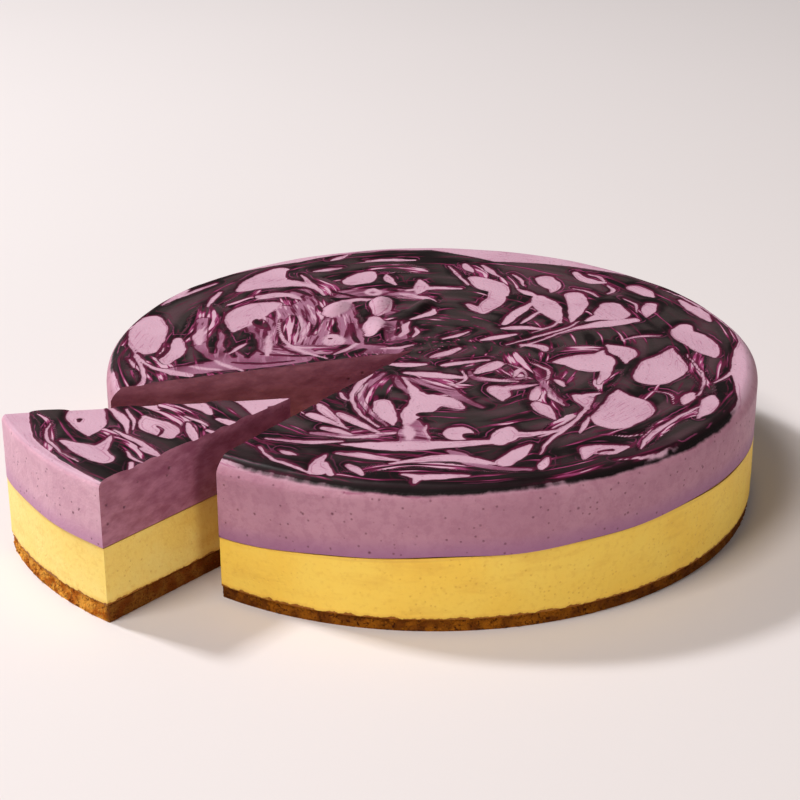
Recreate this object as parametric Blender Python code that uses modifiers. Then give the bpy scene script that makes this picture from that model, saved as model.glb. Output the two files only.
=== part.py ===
"""A round cheesecake in three layers, with one slice drawn out of it.

A thin crumb base carries a pale yellow baked layer and a mauve berry mousse. Dark berry gel lies
marbled over the top, a little proud of the pink mousse that shows through it in drop-shaped cells.
The slice is cut from the same layers, a little shorter than its notch as the picture shows it, turned
a few degrees and drawn out by about half of the cake's radius, so that its point still stands in the
notch.
"""

import math
from typing import NamedTuple

import bmesh
import bpy
from mathutils import Matrix, Vector, noise

MM = 0.001

# Driving sizes, in metres
RADIUS = 0.120
HEIGHT = 0.0520
LAYER_GAP = 0.0003
CREAM_SHARE = 0.998
GEL_THICKNESS = 0.0013
CELL_FLARE = 0.0007

# How finely round shapes are divided
SEGMENTS = 120
ROUNDING_STEPS = 4
CELL_SEGMENTS = 16

# The notch: its inner corner and the directions of its two cuts
NOTCH_CORNER = Vector((-0.0065, -0.0025, 0.0))
FAR_CUT = math.radians(-160.8)
NEAR_CUT = math.radians(-123.6)
CUT_REACH = 0.180

# The slice where it lies: its tip, the directions of its two cut sides, and how long each side is
# as a share of the notch's
SLICE_TIP = Vector((-0.0490, -0.0465, 0.0))
SLICE_FAR_SIDE = math.radians(-171.0)
SLICE_NEAR_SIDE = math.radians(-129.1)
SLICE_FAR_SHARE = 0.879
SLICE_NEAR_SHARE = 0.779

# Unevenness of the crumb base and of the line between the two upper layers
CRUMB_RELIEF = 0.0007
CRUMB_SIZE = 0.0050
LAYER_WAVE = 0.0004

# Where the gel ends near the rim, as a share of the radius, every 20 degrees from +X
GEL_RIM = (
    0.955, 0.955, 0.930, 0.900, 0.915, 0.945, 0.950, 0.955, 0.975,
    0.985, 0.930, 0.925, 0.955, 0.975, 0.975, 0.975, 0.955, 0.905,
)
GEL_RIM_EDGE = 0.0022


class Layering(NamedTuple):
    """Heights of the layers, in metres, how the line above the yellow layer slopes, and the top edge."""

    crust_top: float
    cream_top: float
    slope_x: float
    slope_y: float
    rounding: float


CAKE_LAYERS = Layering(0.0043, 0.0221, 0.0419, -0.0376, 0.0048)
SLICE_LAYERS = Layering(0.0062, 0.0276, 0.0, 0.0, 0.0018)


class Cell(NamedTuple):
    """A drop-shaped pink cell in the gel, in millimetres, with its point turned by an angle in degrees."""

    x: float
    y: float
    length: float
    width: float
    turn: float
    sharpness: float = 1.0


# Cells wide enough to be hollows in the gel, where they lie on the cake
CAKE_CELLS = (
    Cell(24, 69, 27, 11, -58),
    Cell(21, 45, 22, 10, -98),
    Cell(47, 72, 18, 9, -82),
    Cell(56, 44, 34, 12, -98),
    Cell(44, 42, 27, 11, -75),
    Cell(70, 41, 20, 17, 95, 0.6),
    Cell(66, 26, 26, 8, -160),
    Cell(85, 42, 18, 7, -100),
    Cell(98, 14, 34, 17, -78, 0.7),
    Cell(83, 64, 13, 9, -30, 0.5),
    Cell(101.3, 42, 27, 7, -68),
    Cell(-65, 75, 34, 19, -125, 0.7),
    Cell(-66, 38, 48, 19, -108, 0.8),
    Cell(-105, 14, 38, 17, -80, 0.7),
    Cell(-27, 78, 20, 15, 60, 0.6),
    Cell(-4, 67, 16, 9, 80),
    Cell(-94, -11, 18, 9, -100, 0.6),
    Cell(-37, 9, 13, 8, 40),
    Cell(-15.5, -58, 21, 8, -78, 0.7),
    Cell(-1, -53, 36, 15, 110),
    Cell(8, -77, 12, 9, -60, 0.3),
    Cell(25, -78, 18, 12, 80),
    Cell(-9, -86, 38, 9, 178),
    Cell(2, -98.8, 27, 6, -8),
    Cell(28, -93, 21, 7, 58, 0.6),
    Cell(57, -90, 16, 10, -140, 0.7),
    Cell(0, -111, 22, 6, 0, 0.4),
    Cell(-35, -104, 20, 9, 100),
    Cell(67, -56, 36, 22, 96),
    Cell(56, -13, 24, 19, 170, 0.6),
    Cell(70, -3, 20, 11, -85),
    Cell(83, -18, 36, 21, 72),
    Cell(94.4, -52, 23, 7, -112, 0.7),
    Cell(39, -57, 15, 7, -68),
    Cell(25, -42, 13, 11, -88),
    Cell(21, -18, 13, 8, -130, 0.6),
    Cell(4, -24, 18, 7, -12),
)

# Cells of the slice, where they lie after it is drawn out
SLICE_CELLS = (
    Cell(-117, -66, 25, 13, 105, 0.3),
    Cell(-113, -92, 25, 10, 140),
    Cell(-92, -72, 22, 11, 125, 0.6),
    Cell(-60, -53, 16, 14, -88),
    Cell(-80, -55, 15, 6, -60),
)


class Lump(NamedTuple):
    """A low mound of mousse near the middle, in millimetres."""

    x: float
    y: float
    length: float
    width: float
    height: float
    turn: float


LUMPS = (
    Lump(-20, 44, 20, 12, 4.2, 75),
    Lump(-37, 41, 19, 10, 3.2, 65),
    Lump(-20, 20, 22, 12, 3.4, 95),
    Lump(-3, 44, 18, 8, 2.8, 60),
)


def clear_scene() -> None:
    """Remove every object and collection of the scene."""
    for thing in list(bpy.data.objects):
        bpy.data.objects.remove(thing, do_unlink=True)
    for group in list(bpy.data.collections):
        bpy.data.collections.remove(group)


def new_collection(name: str) -> bpy.types.Collection:
    """Add a collection under the scene's own."""
    group = bpy.data.collections.new(name)
    bpy.context.scene.collection.children.link(group)
    return group


def new_material(name: str, colour: tuple, roughness: float) -> bpy.types.Material:
    """Make a plain Principled material."""
    material = bpy.data.materials.new(name)
    material.use_nodes = True
    surface = material.node_tree.nodes["Principled BSDF"]
    surface.inputs["Base Color"].default_value = (*colour, 1.0)
    surface.inputs["Roughness"].default_value = roughness
    surface.inputs["Metallic"].default_value = 0.0
    material.diffuse_color = (*colour, 1.0)
    return material


def new_object(name: str, mesh: bpy.types.Mesh, group: bpy.types.Collection) -> bpy.types.Object:
    """Add an object with a mesh to a collection."""
    thing = bpy.data.objects.new(name, mesh)
    group.objects.link(thing)
    return thing


def as_cutter(thing: bpy.types.Object) -> bpy.types.Object:
    """Show an object as a wire and leave it out of renders."""
    thing.hide_render = True
    thing.display_type = "WIRE"
    return thing


def apply_modifiers(thing: bpy.types.Object) -> None:
    """Turn an object's modified shape into its own mesh."""
    graph = bpy.context.evaluated_depsgraph_get()
    shaped = bpy.data.meshes.new_from_object(thing.evaluated_get(graph))
    old = thing.data
    thing.modifiers.clear()
    thing.data = shaped
    bpy.data.meshes.remove(old)


def turned(name: str, profile: list, group: bpy.types.Collection) -> bpy.types.Object:
    """Turn a profile of (radius, height) points round the cake's axis into a closed solid."""
    shape = bmesh.new()
    points = [shape.verts.new((radius, 0.0, height)) for radius, height in profile]
    for first, second in zip(points, points[1:]):
        shape.edges.new((first, second))
    mesh = bpy.data.meshes.new(name)
    shape.to_mesh(mesh)
    shape.free()
    thing = new_object(name, mesh, group)
    turn = thing.modifiers.new("Turn", "SCREW")
    turn.axis = "Z"
    turn.angle = math.tau
    turn.steps = SEGMENTS
    turn.render_steps = SEGMENTS
    turn.use_merge_vertices = True
    turn.merge_threshold = 0.00001
    apply_modifiers(thing)
    shape = bmesh.new()
    shape.from_mesh(thing.data)
    bmesh.ops.remove_doubles(shape, verts=shape.verts, dist=0.00001)
    bmesh.ops.recalc_face_normals(shape, faces=shape.faces)
    shape.to_mesh(thing.data)
    shape.free()
    return thing


def reshape(thing: bpy.types.Object, rule) -> None:
    """Move each vertex of a mesh to the place that a rule gives it."""
    for vertex in thing.data.vertices:
        vertex.co = rule(vertex.co)
    thing.data.update()


def smoothstep(low: float, high: float, value: float) -> float:
    """Rise from 0 at low to 1 at high."""
    share = min(max((value - low) / (high - low), 0.0), 1.0)
    return share * share * (3.0 - 2.0 * share)


def cream_height(x: float, y: float, layers: Layering) -> float:
    """Height of the line between the yellow layer and the mousse."""
    slope = layers.slope_x * x + layers.slope_y * y
    angle = math.atan2(y, x)
    wave = math.sin(7.0 * angle + 0.6) + 0.6 * math.sin(17.0 * angle + 2.1)
    return layers.cream_top + slope + LAYER_WAVE * wave * math.hypot(x, y) / RADIUS


def gel_rim(angle: float) -> float:
    """Radius at which the gel ends near the rim."""
    place = (angle % math.tau) / math.tau * len(GEL_RIM)
    index = int(place)
    blend = smoothstep(0.0, 1.0, place - index)
    first = GEL_RIM[index % len(GEL_RIM)]
    second = GEL_RIM[(index + 1) % len(GEL_RIM)]
    return RADIUS * (first + (second - first) * blend)


def crumb_place(place: Vector) -> Vector:
    """Roughen the crumb base's side, with its underside and top kept flat."""
    radius = math.hypot(place.x, place.y)
    if radius < 0.9 * RADIUS:
        return place
    relief = CRUMB_RELIEF * noise.noise(place / CRUMB_SIZE)
    return Vector((place.x * (1.0 + relief / radius), place.y * (1.0 + relief / radius), place.z))


def mousse_rim(place: Vector, rounding: float) -> Vector:
    """Lower the mousse near its rim where no gel lies on it."""
    radius = math.hypot(place.x, place.y)
    edge = gel_rim(math.atan2(place.y, place.x))
    bare = smoothstep(edge - GEL_RIM_EDGE, edge + GEL_RIM_EDGE, radius)
    above_side = smoothstep(HEIGHT - 1.6 * rounding, HEIGHT - 0.4 * rounding, place.z)
    return Vector((place.x, place.y, place.z - GEL_THICKNESS * bare * above_side))


def crust_solid(layers: Layering, group: bpy.types.Collection) -> bpy.types.Object:
    """The round crumb base, uncut."""
    profile = [(0.0, 0.0), (0.97 * RADIUS, 0.0)]
    profile += [(RADIUS, layers.crust_top * share) for share in (0.12, 0.45, 0.80)]
    profile += [(0.985 * RADIUS, layers.crust_top), (0.0, layers.crust_top)]
    base = turned("crust", profile, group)
    reshape(base, crumb_place)
    return base


def cream_solid(layers: Layering, group: bpy.types.Collection) -> bpy.types.Object:
    """The yellow layer, uncut."""
    bottom = layers.crust_top + LAYER_GAP
    edge = CREAM_SHARE * RADIUS
    profile = [(0.0, bottom), (edge, bottom), (edge, layers.cream_top), (0.0, layers.cream_top)]
    layer = turned("filling", profile, group)

    def place(spot: Vector) -> Vector:
        if spot.z < 0.5 * (bottom + layers.cream_top):
            return spot
        return Vector((spot.x, spot.y, cream_height(spot.x, spot.y, layers)))

    reshape(layer, place)
    return layer


def mousse_profile(layers: Layering) -> list:
    """The mousse from its underside round its top edge to its middle."""
    inner = RADIUS - layers.rounding
    profile = [(0.0, layers.cream_top), (RADIUS, layers.cream_top)]
    for step in range(ROUNDING_STEPS + 1):
        turn = 0.5 * math.pi * step / ROUNDING_STEPS
        height = HEIGHT - layers.rounding * (1.0 - math.sin(turn))
        profile.append((inner + layers.rounding * math.cos(turn), height))
    profile += [(share * RADIUS, HEIGHT) for share in (0.94, 0.92, 0.90, 0.88)]
    profile.append((0.0, HEIGHT))
    return profile


def drop_point(cell: Cell, share: float, offset: float) -> Vector:
    """A point on a cell's outline, a share of the way round from its point, moved out by an offset."""
    angle = math.tau * share
    taper = math.sin(0.5 * angle) ** cell.sharpness
    along = (0.5 * cell.length * MM + offset) * math.cos(angle)
    across = (0.5 * cell.width * MM + offset) * math.sin(angle) * taper
    spot = Vector((along, across, 0.0))
    spot.rotate(Matrix.Rotation(math.radians(cell.turn), 3, "Z").to_euler())
    return spot + Vector((cell.x * MM, cell.y * MM, 0.0))


def cell_cutter(cell: Cell, index: int, place: Matrix, group: bpy.types.Collection) -> None:
    """A drop-shaped plug that opens upwards, for one hollow in the gel."""
    shape = bmesh.new()
    floor = bmesh.ops.create_circle(shape, cap_ends=True, segments=CELL_SEGMENTS, radius=1.0)["verts"]
    for number, vertex in enumerate(floor):
        vertex.co = drop_point(cell, (number + 0.5) / CELL_SEGMENTS, 0.0)
        vertex.co.z = HEIGHT - GEL_THICKNESS
    raised = bmesh.ops.extrude_face_region(shape, geom=list(shape.faces))["geom"]
    lid = [part for part in raised if isinstance(part, bmesh.types.BMVert)]
    middle = Vector((cell.x * MM, cell.y * MM, 0.0))
    for vertex in lid:
        outward = (vertex.co - middle).to_2d()
        grown = outward * (1.0 + 2.0 * CELL_FLARE / outward.length)
        vertex.co = Vector((middle.x + grown.x, middle.y + grown.y, HEIGHT + GEL_THICKNESS))
    bmesh.ops.recalc_face_normals(shape, faces=shape.faces)
    shape.transform(place)
    mesh = bpy.data.meshes.new(f"cell_{index:02d}")
    shape.to_mesh(mesh)
    shape.free()
    as_cutter(new_object(mesh.name, mesh, group))


def lump_solid(lump: Lump, index: int, group: bpy.types.Collection) -> None:
    """A low mound, sunk to its middle in the mousse."""
    shape = bmesh.new()
    bmesh.ops.create_uvsphere(shape, u_segments=16, v_segments=10, radius=1.0)
    size = Matrix.Diagonal((0.5 * lump.length * MM, 0.5 * lump.width * MM, lump.height * MM, 1.0))
    turn = Matrix.Rotation(math.radians(lump.turn), 4, "Z")
    floor = HEIGHT - GEL_THICKNESS
    shape.transform(Matrix.Translation((lump.x * MM, lump.y * MM, floor)) @ turn @ size)
    mesh = bpy.data.meshes.new(f"lump_{index:02d}")
    shape.to_mesh(mesh)
    shape.free()
    as_cutter(new_object(mesh.name, mesh, group))


def direction(angle: float) -> Vector:
    """A level unit vector at an angle from +X."""
    return Vector((math.cos(angle), math.sin(angle), 0.0))


def slice_matrix() -> Matrix:
    """Carry the wedge between the two cuts to where the slice lies, side onto side."""
    upward = Vector((0.0, 0.0, 1.0))
    cut_sides = Matrix((direction(FAR_CUT), direction(NEAR_CUT), upward)).transposed()
    far_side = SLICE_FAR_SHARE * direction(SLICE_FAR_SIDE)
    near_side = SLICE_NEAR_SHARE * direction(SLICE_NEAR_SIDE)
    slice_sides = Matrix((far_side, near_side, upward)).transposed()
    spread = (slice_sides @ cut_sides.inverted()).to_4x4()
    return Matrix.Translation(SLICE_TIP) @ spread @ Matrix.Translation(-NOTCH_CORNER)


def wedge_cutter(group: bpy.types.Collection) -> bpy.types.Object:
    """The three-cornered prism between the two cuts."""
    outline = bpy.data.curves.new("wedge", "CURVE")
    outline.dimensions = "2D"
    outline.fill_mode = "BOTH"
    outline.extrude = HEIGHT
    spline = outline.splines.new("POLY")
    spline.points.add(2)
    far = NOTCH_CORNER + CUT_REACH * direction(FAR_CUT)
    near = NOTCH_CORNER + CUT_REACH * direction(NEAR_CUT)
    for point, place in zip(spline.points, (NOTCH_CORNER, far, near)):
        point.co = (*place, 1.0)
    spline.use_cyclic_u = True
    drawn = bpy.data.objects.new("wedge_outline", outline)
    group.objects.link(drawn)
    graph = bpy.context.evaluated_depsgraph_get()
    mesh = bpy.data.meshes.new_from_object(drawn.evaluated_get(graph))
    bpy.data.objects.remove(drawn, do_unlink=True)
    shape = bmesh.new()
    shape.from_mesh(mesh)
    bmesh.ops.remove_doubles(shape, verts=shape.verts, dist=0.00001)
    bmesh.ops.recalc_face_normals(shape, faces=shape.faces)
    shape.to_mesh(mesh)
    shape.free()
    return as_cutter(new_object("wedge", mesh, group))


def boolean(thing: bpy.types.Object, operation: str, tool) -> None:
    """Join, cut or keep what an object shares with another object or with a collection."""
    cut = thing.modifiers.new("Cut", "BOOLEAN")
    cut.operation = operation
    cut.solver = "EXACT"
    if isinstance(tool, bpy.types.Collection):
        cut.operand_type = "COLLECTION"
        cut.collection = tool
    else:
        cut.object = tool
    apply_modifiers(thing)


def empty_collection(group: bpy.types.Collection) -> None:
    """Remove a collection's objects once they are used."""
    for thing in list(group.objects):
        bpy.data.objects.remove(thing, do_unlink=True)
    bpy.data.collections.remove(group)


def cells_of(layers: Layering) -> tuple:
    """The cells on the cake, or those on the slice with the matrix that carries them back onto it."""
    if layers is SLICE_LAYERS:
        return SLICE_CELLS, slice_matrix().inverted()
    return CAKE_CELLS, Matrix.Identity(4)


def mousse_solid(layers: Layering, group: bpy.types.Collection) -> bpy.types.Object:
    """The mousse with its gel, cells and lumps, uncut."""
    body = turned("mousse", mousse_profile(layers), group)

    def place(spot: Vector) -> Vector:
        if spot.z < 0.5 * (layers.cream_top + HEIGHT - layers.rounding):
            return Vector((spot.x, spot.y, cream_height(spot.x, spot.y, layers) + LAYER_GAP))
        return mousse_rim(spot, layers.rounding)

    reshape(body, place)
    cells = new_collection("cells")
    chosen, back = cells_of(layers)
    for index, cell in enumerate(chosen):
        cell_cutter(cell, index, back, cells)
    boolean(body, "DIFFERENCE", cells)
    empty_collection(cells)
    if layers is CAKE_LAYERS:
        lumps = new_collection("lumps")
        for index, lump in enumerate(LUMPS):
            lump_solid(lump, index, lumps)
        boolean(body, "UNION", lumps)
        empty_collection(lumps)
    return body


def finish(piece: bpy.types.Object, material: bpy.types.Material) -> None:
    """Name a piece's mesh, give it its material and smooth its round faces."""
    piece.data.name = piece.name
    piece.data.materials.clear()
    piece.data.materials.append(material)
    piece.data.shade_smooth()
    piece.data.set_sharp_from_angle(angle=math.radians(35.0))


def build_layer(kind: str, make_solid, wedge, material, group: bpy.types.Collection) -> None:
    """Make a layer of the cake without the wedge, and of the slice from the wedge alone."""
    rest = make_solid(CAKE_LAYERS, group)
    boolean(rest, "DIFFERENCE", wedge)
    rest.name = f"cake_{kind}"
    piece = make_solid(SLICE_LAYERS, group)
    boolean(piece, "INTERSECT", wedge)
    piece.name = f"slice_{kind}"
    piece.data.transform(slice_matrix())
    for part in (rest, piece):
        finish(part, material)


def main() -> None:
    """Build the six solids of the cake and its slice."""
    clear_scene()
    cake = new_collection("cheesecake")
    cutters = new_collection("cutters")
    wedge = wedge_cutter(cutters)
    crumb = new_material("crumb", (0.42, 0.19, 0.05), 0.85)
    cream = new_material("baked_cream", (0.86, 0.60, 0.20), 0.55)
    mousse = new_material("berry_mousse", (0.42, 0.17, 0.24), 0.50)
    build_layer("crust", crust_solid, wedge, crumb, cake)
    build_layer("filling", cream_solid, wedge, cream, cake)
    build_layer("mousse", mousse_solid, wedge, mousse, cake)


main()
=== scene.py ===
"""The looks of a round berry cheesecake in three layers, with one slice drawn out of it.

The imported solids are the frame. Each layer of the cake and of the slice is replaced by a finer mesh of
the same form: mousse with a marbled top of dark berry gel, a porous yellow layer, and a crumb base.
"""

import logging
import math
from dataclasses import dataclass, field
from enum import Enum

import bmesh
import bpy
import numpy as np
from mathutils import Matrix, Vector


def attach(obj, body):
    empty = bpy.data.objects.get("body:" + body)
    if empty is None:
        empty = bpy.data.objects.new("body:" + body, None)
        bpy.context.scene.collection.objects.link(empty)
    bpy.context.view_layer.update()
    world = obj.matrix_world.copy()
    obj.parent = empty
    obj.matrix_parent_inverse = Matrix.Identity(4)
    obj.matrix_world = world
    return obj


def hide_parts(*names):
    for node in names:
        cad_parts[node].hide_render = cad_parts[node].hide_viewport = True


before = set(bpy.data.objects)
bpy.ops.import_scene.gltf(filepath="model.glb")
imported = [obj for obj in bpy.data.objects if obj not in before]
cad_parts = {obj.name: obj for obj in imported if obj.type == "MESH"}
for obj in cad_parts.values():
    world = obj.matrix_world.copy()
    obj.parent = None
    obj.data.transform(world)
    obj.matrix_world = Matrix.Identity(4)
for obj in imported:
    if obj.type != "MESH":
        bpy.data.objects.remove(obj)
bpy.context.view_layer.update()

MM = 0.001
BODY = "root"

logging.basicConfig(level=logging.INFO, format="%(name)s: %(message)s")
log = logging.getLogger("cheesecake")


class Part(Enum):
    """The two things that the layers belong to."""

    CAKE = "cake"
    SLICE = "slice"


@dataclass(frozen=True)
class Stroke:
    """A stroke of one colour in the marbling: x, y and half width at each knot, in millimetres."""

    knots: tuple

    STEPS = 4
    DOT = (0.01, 0.0, 0.0)
    THINNEST = 0.15

    def samples(self) -> np.ndarray:
        """Knots and the points of a smooth curve between them.

        Returns:
            One row of x, y and half width for each point.
        """
        knots = np.array(self.knots)
        if len(knots) == 1:
            return np.concatenate([knots, knots + self.DOT])
        if len(knots) == 2:
            return knots
        ends = np.concatenate([2 * knots[:1] - knots[1:2], knots, 2 * knots[-1:] - knots[-2:-1]])
        points = []
        for index in range(len(knots) - 1):
            before, start, end, after = ends[index : index + 4]
            for step in range(self.STEPS):
                t = step / self.STEPS
                bend = 2 * before - 5 * start + 4 * end - after
                curl = 3 * start - before - 3 * end + after
                points.append(0.5 * (2 * start + (end - before) * t + bend * t**2 + curl * t**3))
        points.append(knots[-1])
        points = np.array(points)
        points[:, 2] = np.maximum(points[:, 2], self.THINNEST)
        return points


def strokes(*rows: tuple) -> tuple:
    """Strokes from rows of their knots' x, y and half width, one after another."""
    return tuple(Stroke(tuple(zip(row[0::3], row[1::3], row[2::3]))) for row in rows)


@dataclass(frozen=True)
class Mound:
    """A low rise of the mousse, in millimetres."""

    x: float
    y: float
    length: float
    width: float
    height: float
    turn: float


def turned_place(patch: object, x: np.ndarray, y: np.ndarray) -> tuple:
    """Place along and across a patch that is turned in the plane.

    Args:
        patch: A mound or a veil, with its middle and its turn in degrees.
        x: Places along X.
        y: Places along Y.

    Returns:
        Distance along the patch, and across it.
    """
    turn = math.radians(patch.turn)
    along = (x - patch.x) * math.cos(turn) + (y - patch.y) * math.sin(turn)
    across = (y - patch.y) * math.cos(turn) - (x - patch.x) * math.sin(turn)
    return along, across


@dataclass(frozen=True)
class Veil:
    """A long patch where pink and wine streaks run through the gel, in millimetres and degrees."""

    x: float
    y: float
    length: float
    width: float
    turn: float

    BEND = 0.35

    def local(self, x: np.ndarray, y: np.ndarray) -> tuple:
        """Place along and across the patch, whose middle line is a little bent.

        Args:
            x: Places along X.
            y: Places along Y.

        Returns:
            Distance along the patch, and across it.
        """
        along, across = turned_place(self, x, y)
        bend = self.BEND if self.x > self.y else -self.BEND
        return along, across + bend * along**2 / self.length


def veils(*rows: tuple) -> tuple:
    """Veils from rows of their x, y, length, width and turn."""
    return tuple(Veil(*row) for row in rows)


# Wide pink pools in the gel, then dark strokes over them, then pink over those, then dark dots on top
CAKE_POOLS = strokes(
    (-58, 42, 3, -55, 34, 4.5, -58, 22, 3.5, -61, 10, 3),
    (-51, 45, 3.5, -46, 30, 4.5, -45, 14, 4.5),
    (-36, 31, 3.5, -41, 20, 3, -42, 8, 3.5),
    (-24, 22, 2, -14, 18, 3),
    (-87, 28, 3, -85, 14, 4, -82, 0, 5, -74, -10, 5, -60, -12, 5),
    (-83, 22, 3, -80, 8, 4, -77, -4, 5, -66, -8, 5),
    (-95, -24, 3, -86, -21, 5, -76, -17, 5, -62, -14, 5, -48, -9, 5),
    (-66, 28, 5, -63, 14, 5, -60, 2, 5, -52, -5, 5),
    (-52, 60, 4, -49, 44, 5, -46, 28, 6, -45, 10, 7, -42, -2, 6),
    (-36, 58, 4, -22, 61, 4, -8, 60, 3),
    (-34, 44, 5, -33, 26, 5, -31, 10, 6, -28, 0, 5, -14, -1, 4),
    (-15, 36, 3, -14, 22, 4, -13, 10, 4),
    (-9, -28, 1, -2, -32, 2.6, 5, -38, 3, 11, -46, 1.6, 18, -54, 0.8),
    (-17, -24, 0.8, -20, -31, 1.4, -23.5, -40, 1.2, -24, -50, 1.1, -20, -60, 0.9, -15, -70, 0.6),
    (-13, -27, 0.8, -11, -34, 1.2, -8, -41, 0.8),
    (-6, -67, 2.6, -6, -75, 4.4, -5, -83, 5.4),
    (6, -90, 0.8, 10, -94, 2.4, 14, -99, 2.2, 22, -103, 1.2, 32, -104, 0.8),
    (-40, -76, 0.8, -30, -78, 1.6, -20, -78, 1.4, -12, -76, 1),
    (14, -22, 0.8, 16, -28, 1.2, 24, -30, 1.2, 32, -28, 0.8),
    (38, -20, 0.8, 39, -28, 1.2, 42, -38, 1.2, 45, -48, 0.8),
)
CAKE_DARKS = strokes(
    (-83, 42, 1, -83.5, 30, 2, -82, 10, 2.2, -80.5, -4, 1.6),
    (-92, -17, 2, -87, -13, 3, -84, -10, 1.4),
    (-63, 50.5, 1.2, -59, 51, 2),
    (-52, 29, 1, -53.5, 19, 2.8, -51, 8, 1.8),
    (-27, 49, 1.6, -26.5, 41, 2.4, -28, 33, 2),
    (-39, 27, 1, -37, 20, 2.4, -36, 15, 0.8),
    (-66, 27, 1.4, -64, 21, 1.8),
    (-12, 31, 2.4, -6, 40, 3.2, -4, 48, 1.8),
    (-69, 10, 1.6, -72, 4, 2, -76, -4, 1.2),
    (-67, 8, 1.8, -66, -2, 2.2, -67, -9, 1.4),
    (-43, -1, 1, -37, -1, 2.2, -30, 3, 1),
    (-28, -4, 2.4, -26, -2, 2),
    (-20, 7, 1.6, -14, 3, 1.8),
    (-53.5, 33, 1.6, -53.5, 24, 3.6, -53, 15, 3.6, -52, 7, 1.2),
    (-69.5, 13, 3.4, -70, 7, 4.4, -69, 0, 4.4, -67, -7, 2),
    (-101, -19, 2.4, -99, -26, 4, -96.5, -31, 4.4, -95.5, -36, 3),
    (-88, -2, 1.8, -86, -9, 2.8, -85, -14, 1.4),
    (-97, -19.5, 0.7, -90, -17.5, 0.9, -83, -15, 0.5),
    (-62, 52, 1.6, -58, 50, 3, -55, 49, 2.2, -51, 56, 0.8),
    (-49.3, 33, 0.5, -47.2, 27, 0.7, -45.5, 20, 0.7, -46, 12, 0.5),
    (-28, 49, 1.6, -27, 42, 2.6, -26.5, 34, 2.4, -26, 28, 1.4),
    (-22, 29, 2.6, -14, 33, 3.6, -8, 39, 4.2, -2, 46, 4.4),
    (-38, 31, 0.8, -37, 24, 1.7, -37, 17, 0.9),
    (-42, -2, 1.4, -38, -1.5, 2, -32, 3, 1.2),
    (-33, -7, 1.2, -28, -4, 2, -25, -1, 1.6),
    (-22, 7, 1.4, -15, 5.5, 2.2, -8, 8, 2.6, 0, 8, 4),
    (-7, 6, 2.4, -1, 0, 4.6, 5, -7, 3),
    (-66.5, 31, 1.2, -64, 25, 1.7, -62, 18, 1),
    (-81, 31, 1.6, -79.5, 22, 1.6, -77, 13, 1, -76, 2, 1.2, -72, -9, 1.2),
    (-92, 30, 1.1, -91.5, 18, 1.3, -90, 6, 1),
    (-44, 44, 1.4, -43, 34, 1.6, -43, 25, 1, -44, 14, 0.8),
    (-58, 30, 0.8, -57.5, 20, 1.3, -57.5, 8, 1.1, -55, 0, 0.9, -48, -6, 0.7),
    (-78, 51, 3, -79, 43, 2, -77.5, 36, 1),
    (-42, 66, 1.6, -38, 60, 1.2, -30, 56, 0.8),
    (-46, 72, 2.2, -34, 66, 1.8, -22, 66, 1.8, -14, 62, 1.2),
    (-30, 26, 0.8, -29.5, 15, 1.1, -27, 6, 1.1),
    (-12.5, 28, 0.7, -12, 20, 1.3, -13, 14, 0.8),
    (-62, -6, 0.8, -50, -7, 1.1, -38, -6.5, 0.8),
    (-72, -14, 0.7, -62, -15.5, 1, -50, -12, 0.6),
    (-78, 59, 1.4, -66, 64, 1.2, -54, 62, 1.4, -48, 56, 0.8),
)
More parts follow.
